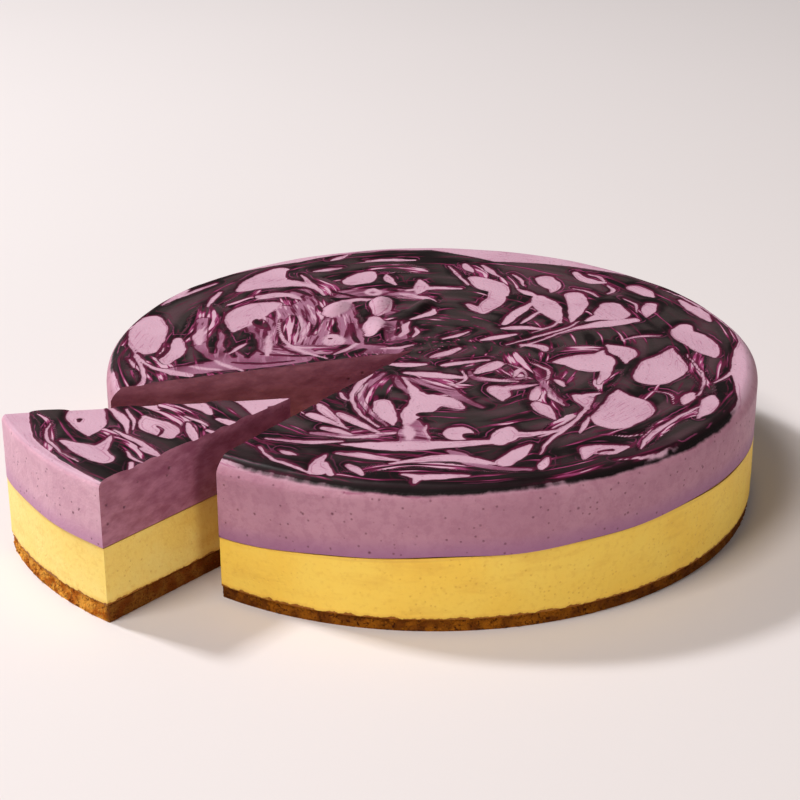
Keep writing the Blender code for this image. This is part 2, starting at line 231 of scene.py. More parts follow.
CAKE_PINKS = strokes(
    # Back right
    (18, 77, 3.2, 22, 71, 5.6, 26, 66, 5, 30, 58, 1.2),
    (26, 61, 3, 26, 54, 4, 23, 47, 4.2, 20, 38, 1.2),
    (14.5, 47, 1.2, 17, 43, 2, 20, 38, 1),
    (43, 54, 3.4, 45, 47, 5.4, 47, 38, 4, 50, 28.5, 0.6),
    (57, 57.5, 4.2, 57.5, 48, 4.2, 56, 38, 2.8, 53.5, 29, 0.5),
    (70, 45.5, 4.6, 70, 38.5, 7.2),
    (69, 36, 4.6, 64, 33.5, 2.6, 59.5, 30, 0.8),
    (78, 30.5, 2.2, 69, 27.5, 3.4, 60, 24.5, 2.2, 52, 20.5, 0.5),
    (85.8, 47.5, 2.4, 84.6, 41, 2.8, 83, 34, 0.5),
    (81.5, 66.5, 3.2, 85, 62, 3.4, 88, 57, 0.8),
    (46, 76.5, 4, 47.5, 71, 4.4, 49, 66, 2.6, 48, 61.5, 0.7),
    (59, 85, 1.2, 61, 79, 2, 65, 74, 2.4, 70, 73, 0.9),
    (64, 83, 0.6, 68, 80, 1, 70, 75, 0.6),
    (71, 70, 0.5, 72.5, 64, 1, 70, 60, 0.5),
    (97, 24.5, 3, 95, 18, 4.8, 99, 10, 6, 102.5, 0, 4, 104, -6, 1),
    (98, 53, 0.8, 101, 45, 2.6, 105, 37, 2.8, 107, 31, 0.8),
    (28, 5, 0.4, 40, 13.5, 0.8, 50, 21, 0.7, 57, 30, 0.4),
    (33, 2.5, 0.4, 44, 12, 0.7, 54, 22, 0.5),
    (38, 17, 0.4, 46, 24, 0.7, 50, 31, 0.4),
    (19, 9, 0.8, 25, 12, 1.8, 32, 15.5, 0.6),
    (27, 21.5, 0.9, 34, 22.6, 2.1, 42, 21, 0.8),
    (28, 26.5, 1.2, 31, 34, 2.2, 35, 41, 2.3, 39.5, 49, 0.7),
    (34, 27, 0.5, 38.5, 33, 1.1, 42, 40, 0.6),
    (35, 65, 0.7, 38, 61, 2, 41, 57.5, 1.2),
    (33, 4.5, 0.8, 37, 4, 1.4, 41, 2, 2, 42, -0.5, 1.4),
    (14, 94.5, 1, 15, 90, 2, 17, 85.5, 0.8),
    (21.5, 93, 0.7, 24, 87, 1.5, 27.5, 79.5, 0.5),
    (7, 92, 0.4, 11, 81, 0.9, 14.5, 70, 0.6),
    (33, 82, 0.5, 36, 76, 1, 37, 69, 0.5),
    (-10, 63, 0.8, 0, 65.6, 1.6, 12, 65, 0.8),
    (-5, 75, 0.8, -4, 67, 3, -5, 61, 1.6),
    (-10, 57.5, 1.4, -3, 54, 2, 2, 49.5, 0.6),
    (92, 66, 0.4, 100, 55, 0.6, 109, 38, 0.6, 113, 24, 0.4),
    (57, 66, 0.4, 63, 62, 0.8, 66, 56, 0.5),
    (76, 55, 0.4, 80, 48, 0.7, 80, 40, 0.4),
    # Back left
    (-105.5, 44, 0.4, -101, 54, 1.5, -96.5, 62.5, 0.6),
    (-107, 29, 4, -107, 18, 6.8, -106, 6, 6.2, -105, -3, 3.6),
    (-94.5, 8, 1.8, -95, 0, 4.2, -96, -8, 4.2, -96, -15, 1.4),
    (-114.5, 24, 0.4, -112, 4, 0.7, -107, -10, 0.7, -101, -19, 0.9, -93, -24, 2.2, -86, -27, 1.4),
    (-109, -8, 0.5, -104.5, -20, 0.8, -102.5, -31, 0.9, -104, -38, 1.4, -110, -40, 1),
    (-110.5, -12, 0.5, -108.5, -16, 0.9, -107.5, -20, 0.4),
    (-87.5, 18, 1.2, -87.5, 11, 2.2, -86, 4, 1.2),
    (-79, -12, 0.5, -74, -17, 1.2, -68, -22, 0.6),
    (-87, -18, 0.6, -82, -20, 1.1, -76, -21, 0.6),
    (-62, 84.5, 4.6, -66, 76, 7, -72, 67.5, 5.2, -77, 61.5, 1.4),
    (-70, 67.5, 4.2, -60, 70.5, 4.4, -51, 69, 2.2, -46, 63, 0.6),
    (-53, 80, 0.6, -50, 73, 1.2, -46, 64, 1.3, -43, 57, 0.7),
    (-62, 46, 3.6, -69, 39, 7.4, -73, 29, 6.4, -74.6, 17, 1.2),
    (-74.5, -6, 0.4, -72, -1, 1.2, -69, 4.5, 0.6),
    (-61.5, 12, 0.7, -60.5, 2, 1.6, -60, -7, 0.8),
    (-51, 33, 0.5, -49.5, 25, 0.8, -47.8, 16, 0.8, -49, 7, 0.6),
    (-57.8, 26, 0.5, -56.8, 13, 0.8, -53, 4, 1, -47, -3, 1.1, -38, -9.6, 0.6),
    (-68, 54.5, 2.2, -62, 57, 2.6, -56, 57.5, 1.8, -52, 53, 1),
    (-87, 43, 0.6, -86, 52, 1.2, -84, 60, 0.7),
    (-25, 83.5, 2.3, -28, 77, 5.8, -32, 73, 4.2),
    (-18.5, 82, 0.5, -17, 76, 1.9, -14, 69.5, 0.6),
    (-48, 85, 0.7, -43, 87, 1.6, -37, 89, 0.6),
    (-27, 98, 0.6, -18, 99.5, 1.6, -7, 99.5, 0.8),
    (-42, 98, 0.5, -38, 102, 1.6, -35, 106, 0.6),
    (-33.5, 49, 2.8, -36.5, 42, 4.6, -39.5, 35, 3),
    (-34.5, 50, 1.6, -28, 52.6, 1.6, -21, 51, 2),
    (-19, 48, 3.8, -19.5, 42, 4.4, -21, 36.5, 2),
    (-22, 31, 2.6, -21.5, 22, 4.4, -22.5, 14.5, 2.6),
    (-37, 12.4, 2.6, -36, 8, 4.4, -37.5, 4.6, 2.2),
    (-8, 30.5, 0.8, -4, 33.5, 1.5, 0, 37.5, 1.9, 1.4, 42, 0.7),
    (-35.5, -5.5, 0.6, -31, 0, 1.1, -27.5, 5, 0.7),
    (-18, 0.6, 0.7, -12, 1.6, 1.2, -6.5, 4.4, 0.6),
    (-23, 64, 1.2, -25.6, 61, 1.2, -23, 58.4, 1.2, -20.4, 61, 1.2, -23, 64, 1.2),
    (-100, 53, 0.6, -93, 62, 1, -87, 70, 0.5),
    (-8.5, 28, 0.5, -10, 23, 1.4, -9.5, 18, 1.4, -12, 13, 0.6),
    (-6, 22, 0.4, -5, 17, 1, -7, 12, 0.5),
    (4, 10, 0.5, 9, 13, 1.2, 14, 18, 0.6),
    # Front
    (-15, -15, 0.9, -9, -15.6, 1.8, -2, -15, 0.8),
    (0, -8.5, 0.8, 5, -5, 2.2, 10.5, 0.5, 1.2),
    (4, -16, 0.8, 10, -14, 1.5, 21, -10.3, 0.6),
    (24, -14, 2.8, 21, -17.5, 3.4, 17, -22.5, 1.4),
    (33, -18, 0.6, 31, -22, 1.2, 29.5, -27, 0.5),
    (-9, -23, 1.2, -1, -24.5, 2.6, 6, -26, 2.4, 12, -27.5, 0.8),
    (-10.5, -27, 0.5, -8, -33, 1, -5.5, -39, 1.6),
    (11, -21, 0.5, 12.5, -28, 0.8, 9, -33, 0.5),
    (23.5, -38.5, 3.8, 25, -43, 3, 25, -47.5, 0.6),
    (26, -37.5, 2, 32, -35, 1.5, 38, -33, 0.5),
    (38, -35, 0.9, 37, -40, 2.1, 36, -46.5, 1.6),
    (37, -51.5, 2.4, 39, -56, 3, 42, -63.5, 0.6),
    (-17, -50.5, 3.2, -16, -56, 3.9, -14, -63, 2.8, -12.7, -69, 0.6),
    (-7.5, -36.5, 0.7, -4, -45, 3.4, -2, -52, 5.6, -6, -60, 3.8, -7.8, -67.5, 1.8),
    (0, -46, 3.2, 5, -49, 4.4, 9.5, -53.5, 2.4),
    (-8, -70, 1.2, -7, -75, 2.1, -7, -80.5, 1.2),
    (9.5, -75.5, 5.3),
    (26, -72, 2.2, 25, -77, 4.6, 23, -82, 3.2),
    (28, -76.5, 2.2, 34, -76, 1.6, 42, -73, 0.6),
    (-29, -85, 0.7, -18, -86, 2.8, -6, -86, 3.8, 6, -84.5, 2.8, 18, -83, 1.8, 25, -82.5, 0.9),
    (-13, -100.5, 0.6, -4, -97, 1.7, 4, -95.5, 2.6, 12, -96, 2.4, 21, -99.5, 0.8),
    (-31, -92, 0.6, -24, -93.5, 1.9, -16, -96, 1.5, -10, -97.5, 0.5),
    (33.5, -84.5, 0.7, 29, -91, 2.9, 24, -98.5, 3),
    (38, -94.5, 0.8, 36.7, -100, 1.9, 35.5, -103.5, 0.8),
    (-34.5, -93, 0.5, -36.5, -100, 2.2, -36, -105, 3.4),
    (-34, -99, 0.8, -32, -108, 1.2),
    (-57, -88, 0.5, -51, -97, 0.7, -44, -103, 0.9, -38, -108, 0.6),
    (-26.5, -102, 1.2, -24, -104.5, 1.9, -21.5, -108, 0.7),
    (-9, -108.2, 0.7, -3, -109.6, 1.9, 4, -109.4, 1.8, 12, -108.4, 0.6),
    (-4, -110.5, 1.8, -4.5, -113.5, 0.7),
    (-38.5, -52.5, 1.2, -36, -58, 2.2, -32, -65, 1.1, -29.5, -69.5, 0.5),
    (-41, -61, 1.6, -38, -64, 2.1, -33, -68, 1.1, -28, -72, 0.5),
    (-31, -60, 1, -28, -64, 2.1, -23, -70, 1.4, -17.5, -75.5, 0.5),
    (-36.5, -72, 1, -32, -73.5, 1.7, -26.5, -76.5, 0.5),
    (-34, -78, 0.4, -26, -79, 0.9, -18, -79, 0.5),
    (-55, -81, 0.5, -45, -83, 1.1, -37, -83.5, 1.2, -29, -82.5, 0.6),
    (-49.5, -90.5, 0.4, -46.5, -92.5, 1.3, -44, -94, 0.4),
    (-21, -24, 0.8, -24, -31, 1.3, -27, -40, 1, -27, -50, 0.7, -24, -60, 0.7, -18, -71, 0.6),
    (-31.5, -42.5, 0.6, -30.5, -45.5, 0.9, -28.5, -49, 0.4),
    (-1.5, -69, 0.4, -2, -75, 0.7, 0, -80.5, 0.4),
    # Front right
    (44.5, -12, 0.6, 52, -11.5, 5, 58, -12.5, 8.6, 61.5, -9.5, 5.2),
    (60, -8, 4, 63.5, -1, 0.7),
    (64, -16, 2.4, 62, -25, 2, 59, -32.5, 0.6),
    (66, 4.5, 1.2, 70, -1, 4.6, 72, -4, 4.2, 71, -13, 0.6),
    (89, 1.5, 0.6, 87, -8, 5, 84, -17, 8.8, 80, -25.5, 7.4),
    (66, -37.5, 0.6, 66, -46, 4.8, 68, -54, 9.2, 63, -63, 8.2),
    (51, -43.5, 1.8, 53, -47, 3, 54.5, -54.5, 0.6),
    (52, -44, 1.8, 59, -40.5, 0.6),
    (91.5, -40.5, 1.1, 89.5, -45, 2.4, 88, -49.5, 0.8),
    (98, -43, 1.6, 97, -48, 3.3, 94, -56, 2.1, 91, -62.5, 0.5),
    (51.5, -88, 2.8, 58, -88, 3.8, 64.5, -86, 1.1),
    (51, -91, 2.4, 50.5, -95, 0.9),
    (93, -51, 0.5, 85, -61, 0.8, 77, -71, 0.9, 72, -79, 0.9, 69, -87.5, 0.4),
    (94.5, -4, 0.4, 97, -18, 0.6, 97, -30, 0.6, 93.5, -42, 0.4),
    (108, -21, 0.9, 104, -27, 0.7, 100.5, -30.5, 0.4),
    (57, -42, 0.5, 53, -56, 0.8, 47, -68, 0.8, 40, -80, 0.8, 36, -92, 0.4),
    (52, -60, 0.4, 43, -72, 0.8, 36, -78.5, 0.4),
    (54.5, -61, 0.4, 52, -68, 1.1, 50, -75, 0.5),
    (44, -29, 0.8, 46, -31.5, 1.3, 47.5, -34.5, 0.6),
    (60, -76, 0.4, 66, -77, 0.7, 73.5, -75, 0.4),
    (28, -13.5, 0.4, 33.5, -20, 0.7, 34, -28.5, 0.4),
    (17, -27, 0.5, 23, -29.5, 1.1, 31, -30.5, 0.6),
    (42, -36, 0.4, 42, -44, 0.9, 46, -52, 0.4),
    (36, -12, 0.4, 42, -20, 0.8, 41, -30, 0.4),
    (79, -38, 0.4, 84, -42, 0.7, 84, -50, 0.4),
    (60, -96, 0.4, 72, -92, 0.8, 82, -83, 0.4),
    (72, 10, 0.5, 78, 14, 0.9, 86, 15, 0.4),
)
CAKE_DOTS = strokes(
    (17, 54.5, 2.6, 17, 51.5, 2.6),
    (13.2, -77.8, 2.5),
    (-67, 29.5, 0.9, -66.6, 26, 1.8, -66.2, 22.5, 0.8),
    (-57.5, 84, 2.4, -57, 78, 2.6, -56.5, 75.5, 1.6),
    (-93.5, 34, 4.4, -94, 28.5, 3.2),
    (-2, -60.5, 2.4, 4, -62, 3.8, 11, -60, 3.4),
    (60, -88, 0.8, 55, -90, 0.5),
    (-97.6, 6, 0.8, -97.8, -2, 1.1, -99, -9, 1.2, -103, -11.4, 1.1, -108, -5, 0.7),
    (-37.5, 9.6, 0.8),
    (-12, 21, 1),
)

CAKE_VEILS = veils(
    (-47, 28, 60, 46, 95), (-85, 22, 50, 16, 85), (-72, 52, 26, 12, 60), (-45, 66, 24, 16, 120),
    (-8, 58, 30, 14, 170), (-14, 88, 30, 10, 175), (18, 86, 24, 12, 115), (33, 70, 24, 12, 100),
    (30, -18, 30, 18, 110), (3, -32, 30, 12, 150), (40, -45, 34, 10, 100), (-22, -45, 50, 14, 80),
    (-15, -76, 40, 10, 0), (0, -102, 60, 6, 0), (45, -68, 50, 8, 55), (80, -68, 50, 8, 52),
    (96, -20, 50, 8, 88), (55, 22, 36, 8, 30), (62, -30, 24, 10, 70), (-100, -20, 30, 14, 120),
    (-45, -2, 40, 12, 0), (55, 0, 26, 8, 10),
)

SLICE_PINKS = strokes(
    (-117.5, -53, 5, -117.5, -63, 6.6, -115.5, -71, 5.2, -114, -78.5, 1),
    (-123, -84, 0.6, -117.5, -87.5, 2.8, -111.5, -92, 4.4, -106, -97.5, 3.2),
    (-109, -90, 3, -107.3, -84, 1.4, -107, -79, 0.4),
    (-110, -56.5, 0.9, -106, -63, 1.8, -103, -70, 1.2, -101, -77, 0.5),
    (-104.5, -57, 0.5, -101.5, -65, 0.8, -99.5, -74, 0.4),
    (-97.5, -63.5, 1, -94, -70, 4.6, -89, -75, 4.8, -87, -79.5, 1.8),
    (-106.5, -74, 0.4, -101, -80, 1.1, -95, -87, 1.3, -90, -93, 1, -86, -97.5, 0.4),
    (-102, -51.5, 1.2, -97, -54.5, 2.1, -93.5, -57.5, 0.6),
    (-93, -49.5, 0.9, -86, -51, 1.7, -80, -54, 2.8, -75.5, -60, 1.1),
    (-70, -46.5, 1, -62, -50, 4.2, -55, -50, 3.4, -50, -48, 1),
    (-60.5, -52, 4.8, -59, -58, 3, -58.5, -64, 0.7),
    (-72.5, -64.5, 1.1, -68, -68, 2, -64.5, -71.5, 0.7),
    (-82, -69, 0.8, -80, -76, 1.9, -78, -83, 1.1, -77, -87, 0.5),
    (-74.5, -74.5, 1, -72, -77, 1),
    (-95.5, -90, 0.8, -92, -92, 1.9, -87.5, -95.5, 0.7),
    (-97, -100.5, 1, -96, -106, 1, -95, -111, 0.4),
    (-84, -62, 0.4, -79, -66, 0.8, -75, -71, 0.4),
    (-100, -92, 0.4, -97, -97, 0.8, -93, -100, 0.4),
    (-129, -70, 0.4, -128.5, -79, 0.6, -123, -90, 0.5, -114, -100, 0.4),
)
SLICE_DOTS = strokes(
    (-119.5, -66, 0.8, -119.5, -68, 0.5),
    (-92, -71, 0.4, -90, -75, 0.6, -91, -79, 0.4),
)

SLICE_VEILS = veils(
    (-88, -62, 30, 14, 130), (-100, -84, 34, 12, 130), (-80, -74, 26, 12, 110), (-128, -80, 40, 6, 105),
)

MOUNDS = (
    Mound(-20, 45, 19, 12, 3.6, 75),
    Mound(-37, 41, 19, 10, 2.6, 65),
    Mound(-20, 20, 20, 12, 2.8, 95),
    Mound(-3, 44, 18, 8, 2.2, 60),
)


@dataclass(frozen=True)
class RimLine:
    """Where the gel ends near the rim: radii in millimetres at angles in degrees from +X."""

    angles: tuple
    radii: tuple

    def at(self, angle: np.ndarray) -> np.ndarray:
        """Radius of the gel's edge.

        Args:
            angle: Angles from +X, in radians.

        Returns:
            The radii, in millimetres.
        """
        turned = np.degrees(angle) % 360.0
        return np.interp(turned, self.angles, self.radii, period=360.0)


CAKE_RIM = RimLine(
    angles=(
        (0, 4, 9, 15, 30, 45, 60, 75, 90, 105, 120, 135, 150, 165)
        + (180, 195, 240, 255, 270, 285, 300, 315, 330, 337, 340, 345, 350, 356)
    ),
    radii=(
        (112, 115, 116, 116.2, 116.0, 114.5, 108, 101, 112.5, 113.5, 111, 115, 116.2, 116.8)
        + (117.5, 116, 116.8, 117.2, 117.5, 117.6, 117.7, 117.7, 117.3, 116, 114, 111.5, 109.5, 110.5)
    ),
)
SLICE_RIM = RimLine(angles=(198.0, 206.0, 212.0, 224.0, 238.0), radii=(108.5, 112.0, 115.0, 116.5, 119.0))


@dataclass(frozen=True)
class CakeShape:
    """Driving sizes of the cake and its slice, in metres and radians."""

    radius: float = 0.1198
    top: float = 0.0507
    gel: float = 0.0013
    gap: float = 0.0003
    corner: Vector = field(default_factory=lambda: Vector((-0.0065, -0.0025, 0.0)))
    far_cut: float = math.radians(-160.8)
    near_cut: float = math.radians(-123.6)
    slice_tip: Vector = field(default_factory=lambda: Vector((-0.0490, -0.0465, 0.0)))
    slice_far: float = math.radians(-171.0)
    slice_near: float = math.radians(-129.1)
    slice_far_share: float = 0.879
    slice_near_share: float = 0.779

    @staticmethod
    def direction(angle: float) -> Vector:
        """A level unit vector at an angle from +X."""
        return Vector((math.cos(angle), math.sin(angle), 0.0))

    def cut_normals(self) -> tuple:
        """Level normals of the two cuts, both pointing into the wedge.

        Returns:
            The far cut's normal and the near cut's.
        """
        far = self.direction(self.far_cut + math.pi / 2.0)
        near = self.direction(self.near_cut - math.pi / 2.0)
        return far, near

    def slice_matrix(self) -> Matrix:
        """Carry the wedge between the two cuts to where the slice lies.

        Returns:
            The matrix.
        """
        upward = Vector((0.0, 0.0, 1.0))
        sides = Matrix((self.direction(self.far_cut), self.direction(self.near_cut), upward))
        far = self.slice_far_share * self.direction(self.slice_far)
        near = self.slice_near_share * self.direction(self.slice_near)
        drawn = Matrix((far, near, upward))
        spread = (drawn.transposed() @ sides.transposed().inverted()).to_4x4()
        return Matrix.Translation(self.slice_tip) @ spread @ Matrix.Translation(-self.corner)

    def drawn_out(self, places: np.ndarray) -> np.ndarray:
        """Points of the wedge, carried to where the slice lies."""
        matrix = np.array(self.slice_matrix())
        return places @ matrix[:3, :3].T + matrix[:3, 3]


@dataclass(frozen=True)
class Layers:
    """Heights of the layers of one part, in metres, and the slope of the line over the yellow one."""

    crust_top: float
    cream_top: float
    slope_x: float
    slope_y: float
    rounding: float
    wave: float = 0.0004

    def cream_height(self, x: np.ndarray, y: np.ndarray, radius: float) -> np.ndarray:
        """Height of the line between the yellow layer and the mousse.

        Args:
            x: Places along X, in metres, before the slice is drawn out.
            y: Places along Y.
            radius: The cake's radius.

        Returns:
            The heights, in metres.
        """
        angle = np.arctan2(y, x)
        wave = np.sin(7.0 * angle + 0.6) + 0.6 * np.sin(17.0 * angle + 2.1)
        reach = np.hypot(x, y) / radius
        return self.cream_top + self.slope_x * x + self.slope_y * y + self.wave * wave * reach


LAYERS = {
    Part.CAKE: Layers(crust_top=0.0043, cream_top=0.0221, slope_x=0.0419, slope_y=-0.0376, rounding=0.0046),
    Part.SLICE: Layers(crust_top=0.0062, cream_top=0.0276, slope_x=0.0, slope_y=0.0, rounding=0.0016),
}


class PlaneNoise:
    """Smooth seeded gradient noise over the plane, for many points at once."""

    SIZE = 256

    def __init__(self, seed: int) -> None:
        """Draw the noise's directions.

        Args:
            seed: Seed of the random draw.
        """
        draw = np.random.default_rng(seed)
        self.order = draw.permutation(self.SIZE)
        self.angle = draw.uniform(0.0, math.tau, self.SIZE)

    def _corner(self, ix: np.ndarray, iy: np.ndarray, dx: np.ndarray, dy: np.ndarray) -> np.ndarray:
        """Slope of one lattice corner times the way to it."""
        pick = self.order[(ix + self.order[iy % self.SIZE]) % self.SIZE]
        return np.cos(self.angle[pick]) * dx + np.sin(self.angle[pick]) * dy

    def at(self, x: np.ndarray, y: np.ndarray) -> np.ndarray:
        """Noise between about -0.7 and 0.7.

        Args:
            x: Places along X, in lattice steps.
            y: Places along Y.

        Returns:
            The noise at those places.
        """
        ix, iy = np.floor(x).astype(int), np.floor(y).astype(int)
        fx, fy = x - ix, y - iy
        sx = fx * fx * fx * (fx * (fx * 6.0 - 15.0) + 10.0)
        sy = fy * fy * fy * (fy * (fy * 6.0 - 15.0) + 10.0)
        low = self._corner(ix, iy, fx, fy) * (1 - sx) + self._corner(ix + 1, iy, fx - 1, fy) * sx
        high = self._corner(ix, iy + 1, fx, fy - 1) * (1 - sx)
        high = high + self._corner(ix + 1, iy + 1, fx - 1, fy - 1) * sx
        return low * (1 - sy) + high * sy


class Marbling:
    """The pattern of dark gel over pink mousse on one part's top."""

    REACH = 9.0
    PALE_EDGE = 0.8
    CALM = 0.42
    WARP_SCALES = (13.0, 4.5)
    WARPS = (0.9, 0.55)
    DRIFT = 3.0
    DRIFT_SCALE = 24.0
    ROUND_STEP = 60.0
    VEIL_CORE = 1.3
    VEIL_STEPS = (37.0, 53.0)
    UNEVEN = 0.5
    UNEVEN_SCALE = 11.0
    RIM_SCALES = (13.0, 4.0)
    RIM_WOBBLES = (1.1, 0.5)
    RIM_SHARE = 0.35

    def __init__(
        self, pools: tuple, darks: tuple, pinks: tuple, dots: tuple, veils: tuple, rim: RimLine, seed: int
    ) -> None:
        """Keep what the pattern is made of, in the order in which it is laid.

        Args:
            pools: Wide pink pools in the gel.
            darks: Dark strokes over the pools.
            pinks: Pink cells and lines over those.
            dots: Dark strokes on top.
            veils: Where streaks run through the gel.
            rim: Where the gel ends near the rim.
            seed: Seed of the noise that makes it uneven.
        """
        self.pools = pools
        self.darks = darks
        self.pinks = pinks
        self.dots = dots
        self.veils = veils
        self.rim = rim
        self.broad = PlaneNoise(seed)
        self.fine = PlaneNoise(seed + 1)

    def nearest(self, x: np.ndarray, y: np.ndarray, strokes: tuple) -> np.ndarray:
        """Distance to the nearest stroke, below zero inside one.

        Args:
            x: Places along X, in millimetres.
            y: Places along Y.
            strokes: The strokes.

        Returns:
            The distances, in millimetres, no more than REACH.
        """
        result = np.full(x.shape, self.REACH)
        for item in strokes:
            points = item.samples()
            for start, end in zip(points, points[1:]):
                way = end - start
                long = max(math.hypot(way[0], way[1]), 1e-6)
                middle = 0.5 * (start + end)
                reach = 0.5 * long + max(start[2], end[2]) + self.REACH
                close = np.flatnonzero((abs(x - middle[0]) < reach) & (abs(y - middle[1]) < reach))
                away_x, away_y = x[close] - start[0], y[close] - start[1]
                share = np.clip((away_x * way[0] + away_y * way[1]) / long**2, 0.0, 1.0)
                gap = np.hypot(away_x - share * way[0], away_y - share * way[1]) - (start[2] + share * way[2])
                result[close] = np.minimum(result[close], gap)
        return result

    def warped(self, x: np.ndarray, y: np.ndarray) -> tuple:
        """Places moved about a little, so that no stroke keeps its regular outline.

        Args:
            x: Places along X, in millimetres.
            y: Places along Y.

        Returns:
            The moved places along X and along Y.
        """
        wide, small = self.WARP_SCALES
        most, least = self.WARPS
        shift_x = most * self.broad.at(x / wide, y / wide)
        shift_x = shift_x + least * self.fine.at(x / small, y / small)
        shift_y = most * self.broad.at(y / wide + 7.3, x / wide)
        shift_y = shift_y + least * self.fine.at(y / small, x / small + 3.1)
        return x + shift_x, y + shift_y

    def streaks(self, x: np.ndarray, y: np.ndarray) -> tuple:
        """Coordinates along which fine streaks run, and how strong they are.

        Args:
            x: Places along X, in millimetres.
            y: Places along Y.

        Returns:
            Place across the streaks, place along them, and their strength from 0 to 1.
        """
        far_x, far_y = x / self.DRIFT_SCALE, y / self.DRIFT_SCALE
        moved_x = x + self.DRIFT * self.broad.at(far_x, far_y)
        moved_y = y + self.DRIFT * self.broad.at(far_x + 5.0, far_y)
        strength = np.full(x.shape, self.CALM)
        across, along = np.hypot(moved_x, moved_y), self.ROUND_STEP * np.arctan2(moved_y, moved_x)
        for number, veil in enumerate(self.veils):
            far, off = veil.local(moved_x, moved_y)
            inside = self.VEIL_CORE - (2.0 * far / veil.length) ** 2 - (2.0 * off / veil.width) ** 2
            here = np.clip(inside, 0.0, 1.0)
            stronger = here > strength
            strength = np.where(stronger, here, strength)
            across = np.where(stronger, off + self.VEIL_STEPS[0] * number, across)
            along = np.where(stronger, far + self.VEIL_STEPS[1] * number, along)
        uneven = 1.0 + self.UNEVEN * self.fine.at(x / self.UNEVEN_SCALE, y / self.UNEVEN_SCALE)
        return across, along, np.clip(strength * uneven, 0.0, 1.0)

    def pale(self, x: np.ndarray, y: np.ndarray, radius: np.ndarray, angle: np.ndarray) -> np.ndarray:
        """How fully the palest pink shows: 1 inside the pink strokes and past the rim, 0 in the pools.

        Args:
            x: Places along X, in millimetres, as the part lies.
            y: Places along Y.
            radius: Distance from the cake's axis before the slice is drawn out, in millimetres.
            angle: Angle there, in radians.

        Returns:
            The shares, from 0 to 1.
        """
        wx, wy = self.warped(x, y)
        inside = 0.5 - self.nearest(wx, wy, self.pinks) / self.PALE_EDGE
        past = 1.5 + (radius - self.rim.at(angle)) / self.PALE_EDGE
        return np.clip(np.maximum(inside, past), 0.0, 1.0)

    def depth(self, x: np.ndarray, y: np.ndarray, radius: np.ndarray, angle: np.ndarray) -> np.ndarray:
        """How far a place lies inside the gel, below zero where pink mousse shows.

        Args:
            x: Places along X, in millimetres, as the part lies.
            y: Places along Y.
            radius: Distance from the cake's axis before the slice is drawn out, in millimetres.
            angle: Angle there, in radians.

        Returns:
            The depths, in millimetres.
        """
        wx, wy = self.warped(x, y)
        gel = self.nearest(wx, wy, self.pools)
        gel = np.maximum(gel, -self.nearest(wx, wy, self.darks))
        gel = np.minimum(gel, self.nearest(wx, wy, self.pinks))
        gel = np.maximum(gel, -self.nearest(wx, wy, self.dots))
        wide, small = self.RIM_SCALES
        wobble = self.RIM_WOBBLES[0] * self.broad.at(x / wide, y / wide)
        wobble = wobble + self.RIM_WOBBLES[1] * self.fine.at(x / small, y / small)
        return np.minimum(gel, self.rim.at(angle) + self.RIM_SHARE * wobble - radius)


MARBLING = {
    Part.CAKE: Marbling(CAKE_POOLS, CAKE_DARKS, CAKE_PINKS, CAKE_DOTS, CAKE_VEILS, CAKE_RIM, seed=11),
    Part.SLICE: Marbling((), (), SLICE_PINKS, SLICE_DOTS, SLICE_VEILS, SLICE_RIM, seed=23),
}


